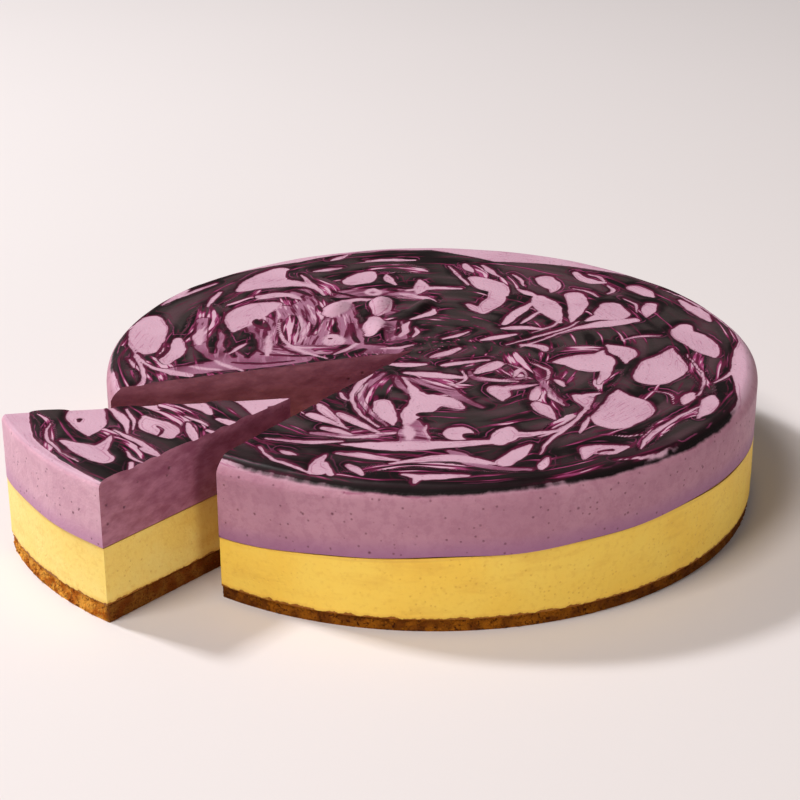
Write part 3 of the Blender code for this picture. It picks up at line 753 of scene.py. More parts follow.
class NodeSheet:
    """Short calls for laying out a shader or a node group."""

    MIX_INPUTS = (0, 6, 7)
    MIX_OUTPUT = 2

    def __init__(self, tree: bpy.types.NodeTree) -> None:
        """Keep the tree that nodes are added to."""
        self.tree = tree

    def add(self, kind: str, **settings: object) -> bpy.types.Node:
        """Add a node and set its properties.

        Args:
            kind: The node's type.
            **settings: Its properties, by name.

        Returns:
            The node.
        """
        node = self.tree.nodes.new(kind)
        for name, value in settings.items():
            setattr(node, name, value)
        return node

    def feed(self, socket: bpy.types.NodeSocket, value: object) -> None:
        """Link an output to a socket, or set the socket to a plain value.

        Args:
            socket: The input.
            value: An output, or a plain value.
        """
        if isinstance(value, bpy.types.NodeSocket):
            self.tree.links.new(value, socket)
        else:
            socket.default_value = value

    def math(self, operation: str, *values: object, clamp: bool = False) -> bpy.types.NodeSocket:
        """A Math node's result.

        Args:
            operation: What it does.
            *values: Its inputs.
            clamp: Whether the result is kept from 0 to 1.

        Returns:
            The result.
        """
        node = self.add("ShaderNodeMath", operation=operation, use_clamp=clamp)
        for socket, value in zip(node.inputs, values):
            self.feed(socket, value)
        return node.outputs[0]

    def times(self, first: object, second: object) -> bpy.types.NodeSocket:
        """One value times another."""
        return self.math("MULTIPLY", first, second)

    def plus(self, first: object, second: object) -> bpy.types.NodeSocket:
        """One value plus another."""
        return self.math("ADD", first, second)

    def minus(self, first: object, second: object) -> bpy.types.NodeSocket:
        """One value minus another."""
        return self.math("SUBTRACT", first, second)

    def between(
        self, value: object, low: float, high: float, start: float = 0.0, end: float = 1.0
    ) -> bpy.types.NodeSocket:
        """A smooth step.

        Args:
            value: The value that is read.
            low: Where the step begins.
            high: Where it ends, which may be the smaller of the two.
            start: The result before it.
            end: The result past it.

        Returns:
            The result.
        """
        node = self.add("ShaderNodeMapRange", interpolation_type="SMOOTHSTEP")
        names = ("Value", "From Min", "From Max", "To Min", "To Max")
        for name, part in zip(names, (value, low, high, start, end)):
            self.feed(node.inputs[name], part)
        return node.outputs["Result"]

    def mix(self, share: object, first: object, second: object) -> bpy.types.NodeSocket:
        """Two colours mixed.

        Args:
            share: How much of the second one shows.
            first: A colour.
            second: The other one.

        Returns:
            The colour between them.
        """
        node = self.add("ShaderNodeMix", data_type="RGBA")
        for index, value in zip(self.MIX_INPUTS, (share, first, second)):
            self.feed(node.inputs[index], value)
        return node.outputs[self.MIX_OUTPUT]

    def tint(self, colour: object, mask: object, strength: object, towards: object) -> bpy.types.NodeSocket:
        """A colour drawn some way towards another one where a mask shows."""
        return self.mix(self.times(mask, strength), colour, towards)

    def noise(
        self, place: object, scale: float, detail: float = 2.0, roughness: float = 0.5
    ) -> bpy.types.NodeSocket:
        """A Noise Texture's value.

        Args:
            place: Where it is read.
            scale: Its scale.
            detail: How many finer steps it has.
            roughness: How strong those are.

        Returns:
            The value, around 0.5.
        """
        node = self.add("ShaderNodeTexNoise")
        self.feed(node.inputs["Vector"], place)
        node.inputs["Scale"].default_value = scale
        node.inputs["Detail"].default_value = detail
        node.inputs["Roughness"].default_value = roughness
        return node.outputs["Fac"]

    def stretched(self, place: object, factors: tuple) -> bpy.types.NodeSocket:
        """A place with each coordinate times a factor.

        Args:
            place: The place.
            factors: One factor for each axis.

        Returns:
            The new place.
        """
        node = self.add("ShaderNodeMapping")
        self.feed(node.inputs["Vector"], place)
        node.inputs["Scale"].default_value = factors
        return node.outputs["Vector"]

    def object_place(self) -> bpy.types.NodeSocket:
        """The place on the object, in metres."""
        return self.add("ShaderNodeTexCoord").outputs["Object"]

    def attribute(self, name: str, output: str = "Fac") -> bpy.types.NodeSocket:
        """A value kept in the mesh."""
        return self.add("ShaderNodeAttribute", attribute_name=name).outputs[output]

    def axis(self, place: object, index: int) -> bpy.types.NodeSocket:
        """One coordinate of a place.

        Args:
            place: The place.
            index: 0 for X, 1 for Y, 2 for Z.

        Returns:
            The coordinate.
        """
        node = self.add("ShaderNodeSeparateXYZ")
        self.feed(node.inputs[0], place)
        return node.outputs[index]

    def dot(self, place: object, way: tuple) -> bpy.types.NodeSocket:
        """How far a place lies along a way.

        Args:
            place: The place.
            way: The way, from the origin.

        Returns:
            The distance times the way's length.
        """
        node = self.add("ShaderNodeVectorMath", operation="DOT_PRODUCT")
        self.feed(node.inputs[0], place)
        node.inputs[1].default_value = way
        return node.outputs["Value"]

    def bump(self, height: object, strength: float, distance: float) -> bpy.types.NodeSocket:
        """A bumped normal.

        Args:
            height: The height of the relief.
            strength: How much of it shows.
            distance: How high it stands, in metres.

        Returns:
            The normal.
        """
        node = self.add("ShaderNodeBump")
        node.inputs["Strength"].default_value = strength
        node.inputs["Distance"].default_value = distance
        self.feed(node.inputs["Height"], height)
        return node.outputs["Normal"]


def srgb(red: float, green: float, blue: float) -> tuple:
    """A linear colour from the values on a screen, 0 to 255.

    Args:
        red: The red value.
        green: The green value.
        blue: The blue value.

    Returns:
        The colour, with an alpha of 1.
    """

    def linear(value: float) -> float:
        """One linear value from 0 to 1."""
        share = value / 255.0
        return share / 12.92 if share <= 0.04045 else ((share + 0.055) / 1.055) ** 2.4

    return (linear(red), linear(green), linear(blue), 1.0)


class GroupShelf:
    """The node groups that more than one material uses."""

    def __init__(self) -> None:
        """Build the groups."""
        self.pores = self._pores()
        self.mottle = self._mottle()

    @staticmethod
    def _new(name: str, inputs: dict, outputs: tuple) -> tuple:
        """Start a group with its sockets.

        Args:
            name: The group's name.
            inputs: Its inputs besides the place, with their values.
            outputs: Names of its outputs.

        Returns:
            The group, its nodes, its inputs and its outputs.
        """
        tree = bpy.data.node_groups.new(name, "ShaderNodeTree")
        tree.interface.new_socket("Vector", in_out="INPUT", socket_type="NodeSocketVector")
        for socket, value in inputs.items():
            made = tree.interface.new_socket(socket, in_out="INPUT", socket_type="NodeSocketFloat")
            made.default_value = value
        for socket in outputs:
            tree.interface.new_socket(socket, in_out="OUTPUT", socket_type="NodeSocketFloat")
        sheet = NodeSheet(tree)
        return tree, sheet, sheet.add("NodeGroupInput"), sheet.add("NodeGroupOutput")

    def _pores(self) -> bpy.types.NodeTree:
        """Small round pits, spread unevenly.

        Returns:
            The group, which puts out a mask of the pits.
        """
        tree, sheet, given, made = self._new("pores", {"Scale": 500.0, "Size": 0.25, "Share": 0.5}, ("Mask",))
        cells = sheet.add("ShaderNodeTexVoronoi")
        sheet.feed(cells.inputs["Vector"], given.outputs["Vector"])
        sheet.feed(cells.inputs["Scale"], given.outputs["Scale"])
        pit = sheet.math("LESS_THAN", cells.outputs["Distance"], given.outputs["Size"])
        edge = sheet.minus(given.outputs["Size"], cells.outputs["Distance"])
        soft = sheet.math("MULTIPLY", edge, 9.0, clamp=True)
        chosen = sheet.add("ShaderNodeSeparateColor")
        sheet.feed(chosen.inputs[0], cells.outputs["Color"])
        kept = sheet.math("LESS_THAN", chosen.outputs[0], given.outputs["Share"])
        sheet.feed(made.inputs["Mask"], sheet.times(sheet.times(soft, kept), pit))
        return tree

    def _mottle(self) -> bpy.types.NodeTree:
        """Broad soft unevenness.

        Returns:
            The group, which puts out a value from 0 to 1.
        """
        tree, sheet, given, made = self._new("mottle", {"Scale": 60.0}, ("Value",))
        node = sheet.add("ShaderNodeTexNoise")
        sheet.feed(node.inputs["Vector"], given.outputs["Vector"])
        sheet.feed(node.inputs["Scale"], given.outputs["Scale"])
        node.inputs["Detail"].default_value = 4.0
        sheet.feed(made.inputs["Value"], sheet.between(node.outputs["Fac"], 0.3, 0.7))
        return tree

    @staticmethod
    def use(
        sheet: NodeSheet, tree: bpy.types.NodeTree, place: object, **values: float
    ) -> bpy.types.NodeSocket:
        """Place a group in a material.

        Args:
            sheet: The material's nodes.
            tree: The group.
            place: Where the pattern is read.
            **values: Values of the group's inputs, by name.

        Returns:
            The group's first output.
        """
        node = sheet.add("ShaderNodeGroup", node_tree=tree)
        sheet.feed(node.inputs["Vector"], place)
        for name, value in values.items():
            sheet.feed(node.inputs[name], value)
        return node.outputs[0]


@dataclass(frozen=True)
class Finish:
    """What every finish has: a name, a Principled surface, and its constants and relief."""

    name: str

    CONSTANTS = {}
    RELIEF = (0.35, 0.0005)

    def start(self) -> tuple:
        """Make the material.

        Returns:
            The material, its nodes and its Principled surface.
        """
        material = bpy.data.materials.new(self.name)
        material.use_nodes = True
        surface = material.node_tree.nodes["Principled BSDF"]
        return material, NodeSheet(material.node_tree), surface

    def close(self, sheet: NodeSheet, surface: bpy.types.Node, colour: object, height: object) -> None:
        """Feed the surface, and set what is the same all over it.

        Args:
            sheet: The material's nodes.
            surface: The Principled surface.
            colour: The colour.
            height: The height of the relief.
        """
        sheet.feed(surface.inputs["Base Color"], colour)
        sheet.feed(surface.inputs["Normal"], sheet.bump(height, *self.RELIEF))
        for name, value in self.CONSTANTS.items():
            surface.inputs[name].default_value = value


@dataclass(frozen=True)
class MarbledFinish(Finish):
    """Pink mousse under dark berry gel, and the mauve side below it."""

    pink: tuple = srgb(203, 163, 183)
    mauve: tuple = srgb(156, 104, 131)
    # The side colours are darker and more mauve than the pink top: partly the mousse's own colour, partly
    # painted shade of the side that turns from the light.
    side: tuple = srgb(188, 138, 156)
    side_deep: tuple = srgb(162, 108, 130)
    foot: tuple = srgb(154, 103, 143)
    wine: tuple = srgb(88, 17, 50)
    rose: tuple = srgb(148, 62, 106)
    gel: tuple = srgb(14, 3, 6)
    gel_wine: tuple = srgb(42, 6, 22)
    # Grey of the painted sheen on the gel.
    gel_sheen: tuple = srgb(51, 41, 42)
    haze: tuple = srgb(92, 62, 72)
    speck: tuple = srgb(84, 30, 50)

    CONSTANTS = {
        "Specular IOR Level": 0.19,
        "Subsurface Weight": 0.05,
        "Subsurface Radius": (0.004, 0.002, 0.002),
    }
    RELIEF = (0.35, 0.0006)
    DRY_ROUGHNESS = 0.5
    WET_ROUGHNESS = 0.34

    def build(self, shelf: GroupShelf) -> bpy.types.Material:
        """Make the material.

        Args:
            shelf: The shared node groups.

        Returns:
            The material.
        """
        material, sheet, surface = self.start()
        place = sheet.object_place()
        depth = sheet.attribute("gel_depth")
        level = sheet.attribute("level")
        veil = sheet.attribute("veil")
        ragged = sheet.times(sheet.minus(sheet.noise(place, 360.0), 0.5), 0.6)
        edge = sheet.plus(depth, ragged)

        specks = self._specks(sheet, shelf, place)
        streaks = self._streaks(sheet, veil)
        base = self._mousse(sheet, shelf, place, level, specks, streaks)

        wet = sheet.between(edge, -0.25, 0.1)
        drift = sheet.minus(sheet.noise(place, 34.0, 3.0), 0.5)
        gel = self._gel(sheet, place, level, edge, drift)
        gel = self._veiled(sheet, gel, streaks)
        reach = sheet.times(sheet.between(level, 0.6, 0.98), 2.6)
        width = sheet.plus(-1.1, sheet.times(sheet.noise(place, 75.0), reach))
        dark = sheet.between(sheet.minus(edge, width), -0.1, 0.65)
        base = sheet.tint(base, self._echo(sheet, edge, drift, -0.9, 70.0), 0.6, self.rose)
        colour = sheet.mix(wet, base, self.wine)
        colour = sheet.mix(dark, colour, gel)

        smear = sheet.noise(place, 90.0, 3.0)
        gloss = sheet.plus(self.WET_ROUGHNESS, sheet.times(smear, 0.2))
        gloss = sheet.plus(gloss, sheet.between(level, 0.99, 0.85, 0.0, 0.35))
        rough = sheet.add("ShaderNodeMix", data_type="FLOAT")
        sheet.feed(rough.inputs[0], wet)
        rough.inputs[2].default_value = self.DRY_ROUGHNESS
        sheet.feed(rough.inputs[3], gloss)
        sheet.feed(surface.inputs["Roughness"], rough.outputs[0])

        grain = sheet.noise(place, 900.0, 3.0)
        pitted = sheet.minus(grain, sheet.times(specks, 1.6))
        dry = sheet.times(pitted, sheet.minus(1.0, wet))
        wavy = sheet.times(sheet.noise(place, 150.0), sheet.times(wet, 1.6))
        height = sheet.minus(sheet.plus(dry, wavy), sheet.times(streaks, 0.3))
        self.close(sheet, surface, colour, height)
        return material

    def _gel(
        self, sheet: NodeSheet, place: object, level: object, edge: object, drift: object
    ) -> bpy.types.NodeSocket:
        """Colour of the gel, from wine at its edge to black, and further inside to a grey painted sheen,
        which is taken away towards the front and down the rounded edge.

        Args:
            sheet: The material's nodes.
            place: The place on the piece.
            level: 1 on the top, 0 at the foot of the rounded edge.
            edge: Depth inside the gel, in millimetres.
            drift: A slow wander, from -0.5 to 0.5.

        Returns:
            The colour.
        """
        inward = sheet.plus(edge, sheet.times(drift, 7.0))
        gel = sheet.mix(sheet.between(edge, 0.4, 1.9), self.gel_wine, self.gel)
        # Painted sheen: further inside, the black gel turns grey where its dome would catch a reflection.
        gel = sheet.mix(sheet.between(inward, 1.6, 4.4), gel, self.gel_sheen)
        flow = sheet.attribute("flow", "Vector")
        band = sheet.noise(sheet.stretched(flow, (0.11, 0.025, 1.0)), 1.0, 1.5, 0.45)
        hazy = sheet.times(sheet.between(band, 0.48, 0.68), sheet.between(edge, 0.5, 1.4))
        gel = sheet.tint(gel, hazy, 0.6, self.haze)
        gel = sheet.mix(sheet.between(band, 0.47, 0.33), gel, self.gel)
        gel = sheet.mix(self._echo(sheet, edge, drift, 1.7, 64.0), gel, self.rose)
        gel = sheet.mix(self._echo(sheet, edge, drift, 3.4, 52.0), gel, self.wine)
        # Painted sheen taken away: towards the front and down the rounded edge, the gel is drawn black.
        front = sheet.times(sheet.between(sheet.axis(place, 1), -0.07, -0.105), 0.75)
        front = sheet.math("MAXIMUM", front, sheet.between(level, 0.97, 0.75))
        return sheet.mix(front, gel, self.gel)

    @staticmethod
    def _specks(sheet: NodeSheet, shelf: GroupShelf, place: object) -> bpy.types.NodeSocket:
        """Small dark berry specks and pits, in two sizes.

        Args:
            sheet: The material's nodes.
            shelf: The shared node groups.
            place: The place on the piece.

        Returns:
            The mask.
        """
        small = shelf.use(sheet, shelf.pores, place, Scale=430.0, Size=0.22, Share=0.4)
        large = shelf.use(sheet, shelf.pores, place, Scale=190.0, Size=0.13, Share=0.4)
        return sheet.math("MAXIMUM", sheet.times(small, 0.6), large)

    def _mousse(
        self,
        sheet: NodeSheet,
        shelf: GroupShelf,
        place: object,
        level: object,
        specks: object,
        streaks: object,
    ) -> bpy.types.NodeSocket:
        """Colour of the bare mousse on the top and down the side.

        Args:
            sheet: The material's nodes.
            shelf: The shared node groups.
            place: The place on the piece.
            level: 1 on the top, 0 at the foot of the rounded edge.
            specks: Mask of the specks.
            streaks: Value of the streaks.

        Returns:
            The colour.
        """
        mottle = shelf.use(sheet, shelf.mottle, place, Scale=48.0)
        cloud = sheet.between(sheet.noise(place, 330.0, 4.0, 0.6), 0.42, 0.66)
        side = sheet.tint(self.side, mottle, 0.5, self.side_deep)
        side = sheet.tint(side, cloud, 0.45, self.side_deep)
        side = sheet.tint(side, sheet.attribute("foot"), 0.75, self.foot)
        pale = sheet.math("MAXIMUM", sheet.attribute("pale"), sheet.between(streaks, 0.53, 0.58))
        top = sheet.mix(pale, self.mauve, self.pink)
        top = sheet.tint(top, mottle, 0.2, self.mauve)
        veiled = sheet.between(sheet.attribute("veil"), 0.3, 0.6)
        lines = sheet.times(sheet.between(streaks, 0.44, 0.36), veiled)
        top = sheet.tint(top, lines, sheet.minus(1.0, pale), self.wine)
        vein = sheet.math("ABSOLUTE", sheet.minus(streaks, 0.33))
        faint = sheet.times(sheet.between(vein, 0.016, 0.004), sheet.between(mottle, 0.35, 0.7))
        top = sheet.tint(top, faint, 0.5, self.rose)
        base = sheet.mix(sheet.between(level, 0.4, 0.85), side, top)
        shown = sheet.minus(0.9, sheet.times(level, 0.6))
        return sheet.tint(base, specks, shown, self.speck)

    @staticmethod
    def _streaks(sheet: NodeSheet, veil: object) -> bpy.types.NodeSocket:
        """Streaks that run along the flow.

        Args:
            sheet: The material's nodes.
            veil: How strong they are here, from 0 to 1.

        Returns:
            A value that rises with how much pink is drawn in.
        """
        flow = sheet.attribute("flow", "Vector")
        fine = sheet.noise(sheet.stretched(flow, (0.5, 0.05, 1.0)), 1.0, 2.0, 0.5)
        return sheet.minus(fine, sheet.times(sheet.minus(1.0, veil), 0.3))

    @staticmethod
    def _echo(
        sheet: NodeSheet, edge: object, drift: object, depth: float, scale: float
    ) -> bpy.types.NodeSocket:
        """A thin broken line that follows the gel's edge.

        Args:
            sheet: The sheet to draw on.
            edge: Depth inside the gel, in millimetres.
            drift: A slow wander, from -0.5 to 0.5.
            depth: How deep the line lies, in millimetres.
            scale: Scale of the gaps in it.

        Returns:
            The mask.
        """
        wander = sheet.plus(edge, sheet.times(drift, 5.0))
        off = sheet.math("ABSOLUTE", sheet.minus(wander, depth))
        level = sheet.stretched(sheet.object_place(), (1.0, 1.0, 0.0))
        kept = sheet.between(sheet.noise(level, scale), 0.5, 0.58)
        return sheet.times(sheet.between(off, 0.34, 0.08), sheet.times(kept, 0.75))

    def _veiled(self, sheet: NodeSheet, gel: object, streaks: object) -> bpy.types.NodeSocket:
        """Gel with wine, rose and pink drawn into it along the streaks.

        Args:
            sheet: The material's nodes.
            gel: Colour of the plain gel.
            streaks: Value of the streaks.

        Returns:
            The colour.
        """
        gel = sheet.mix(sheet.between(streaks, 0.39, 0.46), gel, self.wine)
        gel = sheet.mix(sheet.between(streaks, 0.468, 0.5), gel, self.rose)
        return sheet.mix(sheet.between(streaks, 0.525, 0.55), gel, self.pink)


@dataclass(frozen=True)
class CutMousseFinish(Finish):
    """The moist cut side of the mousse."""

    colour: tuple = srgb(184, 122, 146)
    deep: tuple = srgb(146, 82, 108)
    speck: tuple = srgb(80, 26, 44)

    CONSTANTS = {"Roughness": 0.42}
    RELIEF = (0.5, 0.0006)

    def build(self, shelf: GroupShelf) -> bpy.types.Material:
        """Make the material.

        Args:
            shelf: The shared node groups.

        Returns:
            The material.
        """
        material, sheet, surface = self.start()
        place = sheet.object_place()
        drag = sheet.noise(sheet.stretched(place, (0.45, 0.45, 1.0)), 300.0, 5.0, 0.62)
        colour = sheet.mix(sheet.between(drag, 0.3, 0.75), self.deep, self.colour)
        specks = shelf.use(sheet, shelf.pores, place, Scale=230.0, Size=0.17, Share=0.35)
        colour = sheet.tint(colour, specks, 0.7, self.speck)
        self.close(sheet, surface, colour, sheet.minus(drag, sheet.times(specks, 1.2)))
        return material


@dataclass(frozen=True)
class CreamFinish(Finish):
    """The pale yellow baked layer, smooth with small pores."""

    colour: tuple = srgb(255, 217, 96)
    warm: tuple = srgb(252, 202, 72)
    deep: tuple = srgb(232, 180, 70)
    pit: tuple = srgb(214, 148, 52)
    toast: tuple = srgb(150, 88, 16)
    bleed: tuple = srgb(176, 112, 66)
    foot: float = 0.004
    head: float = 0.0235
    upright: tuple = (0.0, 0.0, 1.0)

    CONSTANTS = {
        "Roughness": 0.5,
        "Specular IOR Level": 0.3,
        "Subsurface Weight": 0.08,
        "Subsurface Radius": (0.005, 0.003, 0.001),
    }
    CREEP = 0.0034
    FOOT_DROP = 0.001
    SEAM_WANDER = 0.0012
    SEAM_BAND = 0.0007

    def build(self, shelf: GroupShelf) -> bpy.types.Material:
        """Make the material.

        Args:
            shelf: The shared node groups.

        Returns:
            The material.
        """
        material, sheet, surface = self.start()
        place = sheet.object_place()
        mottle = shelf.use(sheet, shelf.mottle, place, Scale=40.0)
        colour = sheet.tint(self.colour, mottle, 0.6, self.warm)
        bands = sheet.noise(sheet.stretched(place, (1.0, 1.0, 3.5)), 55.0, 4.0, 0.6)
        colour = sheet.tint(colour, sheet.between(bands, 0.5, 0.75), 0.4, self.deep)
        crept = sheet.times(sheet.noise(place, 190.0, 4.0, 0.65), self.CREEP)
        climb = sheet.minus(sheet.minus(sheet.axis(place, 2), self.foot - self.FOOT_DROP), crept)
        colour = sheet.tint(colour, sheet.between(climb, 0.0016, 0.0), 0.55, self.deep)
        colour = sheet.mix(sheet.between(climb, 0.0003, 0.0), colour, self.toast)
        tilted = sheet.dot(place, self.upright)
        seam = sheet.plus(tilted, sheet.times(sheet.noise(place, 90.0), self.SEAM_WANDER))
        stained = sheet.between(seam, self.head, self.head + self.SEAM_BAND)
        colour = sheet.tint(colour, stained, 0.15, self.bleed)
        small = shelf.use(sheet, shelf.pores, place, Scale=620.0, Size=0.26, Share=0.4)
        large = shelf.use(sheet, shelf.pores, place, Scale=300.0, Size=0.16, Share=0.3)
        patches = sheet.between(sheet.noise(place, 26.0), 0.4, 0.6)
        pores = sheet.times(sheet.math("MAXIMUM", small, large), patches)
        colour = sheet.tint(colour, pores, 0.35, self.pit)
        sandy = sheet.between(sheet.noise(place, 520.0, 3.0, 0.6), 0.5, 0.72)
        colour = sheet.tint(colour, sandy, 0.3, self.deep)
        grain = sheet.noise(place, 700.0, 3.0)
        self.close(sheet, surface, colour, sheet.minus(grain, sheet.times(pores, 1.8)))
        return material


@dataclass(frozen=True)
class CrumbFinish(Finish):
    """Baked crumbs, from golden to dark brown, and darker at the sides that turn from the light.

    Each of the sides is a level angle in degrees, and where the shade begins and is full along it: as a
    share of the way around the cake, or for a flat side in metres from the cake's axis.
    """

    golden: tuple = srgb(156, 92, 14)
    brown: tuple = srgb(114, 60, 8)
    dark: tuple = srgb(66, 26, 2)
    sides: tuple = ((-15.0, 0.45, 0.9), (-165.0, 0.55, 0.85))
    around: bool = True

    CONSTANTS = {"Roughness": 0.85, "Specular IOR Level": 0.12}
    RELIEF = (0.8, 0.0008)
    SHADE = 0.6

    def build(self, shelf: GroupShelf) -> bpy.types.Material:
        """Make the material.

        Args:
            shelf: The shared node groups.

        Returns:
            The material.
        """
        material, sheet, surface = self.start()
        place = sheet.object_place()
        patches = sheet.between(sheet.noise(place, 190.0, 2.5), 0.4, 0.6)
        grains = sheet.noise(place, 760.0, 4.0, 0.6)
        colour = sheet.mix(patches, self.brown, self.golden)
        reach = place
        if self.around:
            outward = sheet.add("ShaderNodeVectorMath", operation="NORMALIZE")
            sheet.feed(outward.inputs[0], sheet.stretched(place, (1.0, 1.0, 0.0)))
            reach = outward.outputs["Vector"]
        for angle, low, high in self.sides:
            turned = sheet.dot(reach, CakeShape.direction(math.radians(angle)))
            colour = sheet.mix(sheet.between(turned, low, high, 0.0, self.SHADE), colour, self.dark)
        colour = sheet.mix(sheet.between(grains, 0.5, 0.68), colour, self.dark)
        self.close(sheet, surface, colour, grains)
        return material


@dataclass(frozen=True)
class FloorFinish(Finish):
    """The plain pale surface that the cake stands on."""

    colour: tuple = srgb(226, 221, 222)
    cloud: tuple = srgb(223, 218, 219)

    def build(self) -> bpy.types.Material:
        """Make the material.

        Returns:
            The material.
        """
        material, sheet, surface = self.start()
        broad = sheet.noise(sheet.object_place(), 3.0)
        sheet.feed(surface.inputs["Base Color"], sheet.mix(broad, self.colour, self.cloud))
        surface.inputs["Roughness"].default_value = 0.7
        return material


def finished_mesh(shape: bmesh.types.BMesh, name: str) -> bpy.types.Mesh:
    """Turn a bmesh into a mesh and free it.

    Args:
        shape: The bmesh.
        name: The mesh's name.

    Returns:
        The mesh.
    """
    mesh = bpy.data.meshes.new(name)
    shape.to_mesh(mesh)
    shape.free()
    return mesh


def points_of(mesh: bpy.types.Mesh) -> np.ndarray:
    """The points of a mesh, a row for each.

    Args:
        mesh: The mesh.

    Returns:
        The places, in metres.
    """
    places = np.empty(len(mesh.vertices) * 3)
    mesh.vertices.foreach_get("co", places)
    return places.reshape(-1, 3)


@dataclass
class LayerCutter:
    """Parts a round closed layer into the cake's share or the slice's share."""

    shape: CakeShape
    tolerance: float = 1e-6

    MARGIN = 0.006
    QUAD = 4

    def depth_in(self, place: Vector) -> tuple:
        """How far a place lies past each cut, towards the wedge.

        Args:
            place: The place.

        Returns:
            The way past the far cut and past the near one, in metres.
        """
        away = place - self.shape.corner
        far, near = self.shape.cut_normals()
        return away.dot(far), away.dot(near)

    def least_depth(self, face: bmesh.types.BMFace) -> float:
        """How far a face's middle lies inside the wedge."""
        return min(self.depth_in(face.calc_center_median()))

    def cut(self, mesh: bmesh.types.BMesh, part: Part) -> list:
        """Cut a closed round layer and close the cuts with flat faces.

        Args:
            mesh: The layer, uncut.
            part: Which share to keep.

        Returns:
            The new faces along the cuts.
        """
        for normal in self.shape.cut_normals():
            near_wedge = [
                f for f in mesh.faces if self.least_depth(f) > -self.MARGIN or len(f.verts) > self.QUAD
            ]
            bounds = dict.fromkeys(e for f in near_wedge for e in f.edges)
            points = dict.fromkeys(v for f in near_wedge for v in f.verts)
            bmesh.ops.bisect_plane(
                mesh,
                geom=[*near_wedge, *bounds, *points],
                dist=self.tolerance,
                plane_co=self.shape.corner,
                plane_no=normal,
            )
        drop_wedge = part is Part.CAKE
        gone = [f for f in mesh.faces if (self.least_depth(f) > 0.0) == drop_wedge]
        bmesh.ops.delete(mesh, geom=gone, context="FACES")
        return self._close(mesh)

    def _close(self, mesh: bmesh.types.BMesh) -> list:
        """Fill both cuts, which meet in an upright edge at the notch's corner.

        Args:
            mesh: The layer, open along the cuts.

        Returns:
            The new faces.
        """
        slack = 20.0 * self.tolerance
        corner = [v for v in mesh.verts if v.is_boundary and max(map(abs, self.depth_in(v.co))) < slack]
        corner.sort(key=lambda v: v.co.z)
        upright = mesh.edges.new((corner[0], corner[-1]))
        made = []
        for side in (0, 1):
            rim = [
                e
                for e in mesh.edges
                if (e.is_boundary or e is upright or e.is_wire)
                and all(abs(self.depth_in(v.co)[side]) < slack for v in e.verts)
            ]
            made += bmesh.ops.contextual_create(mesh, geom=rim)["faces"]
        return made


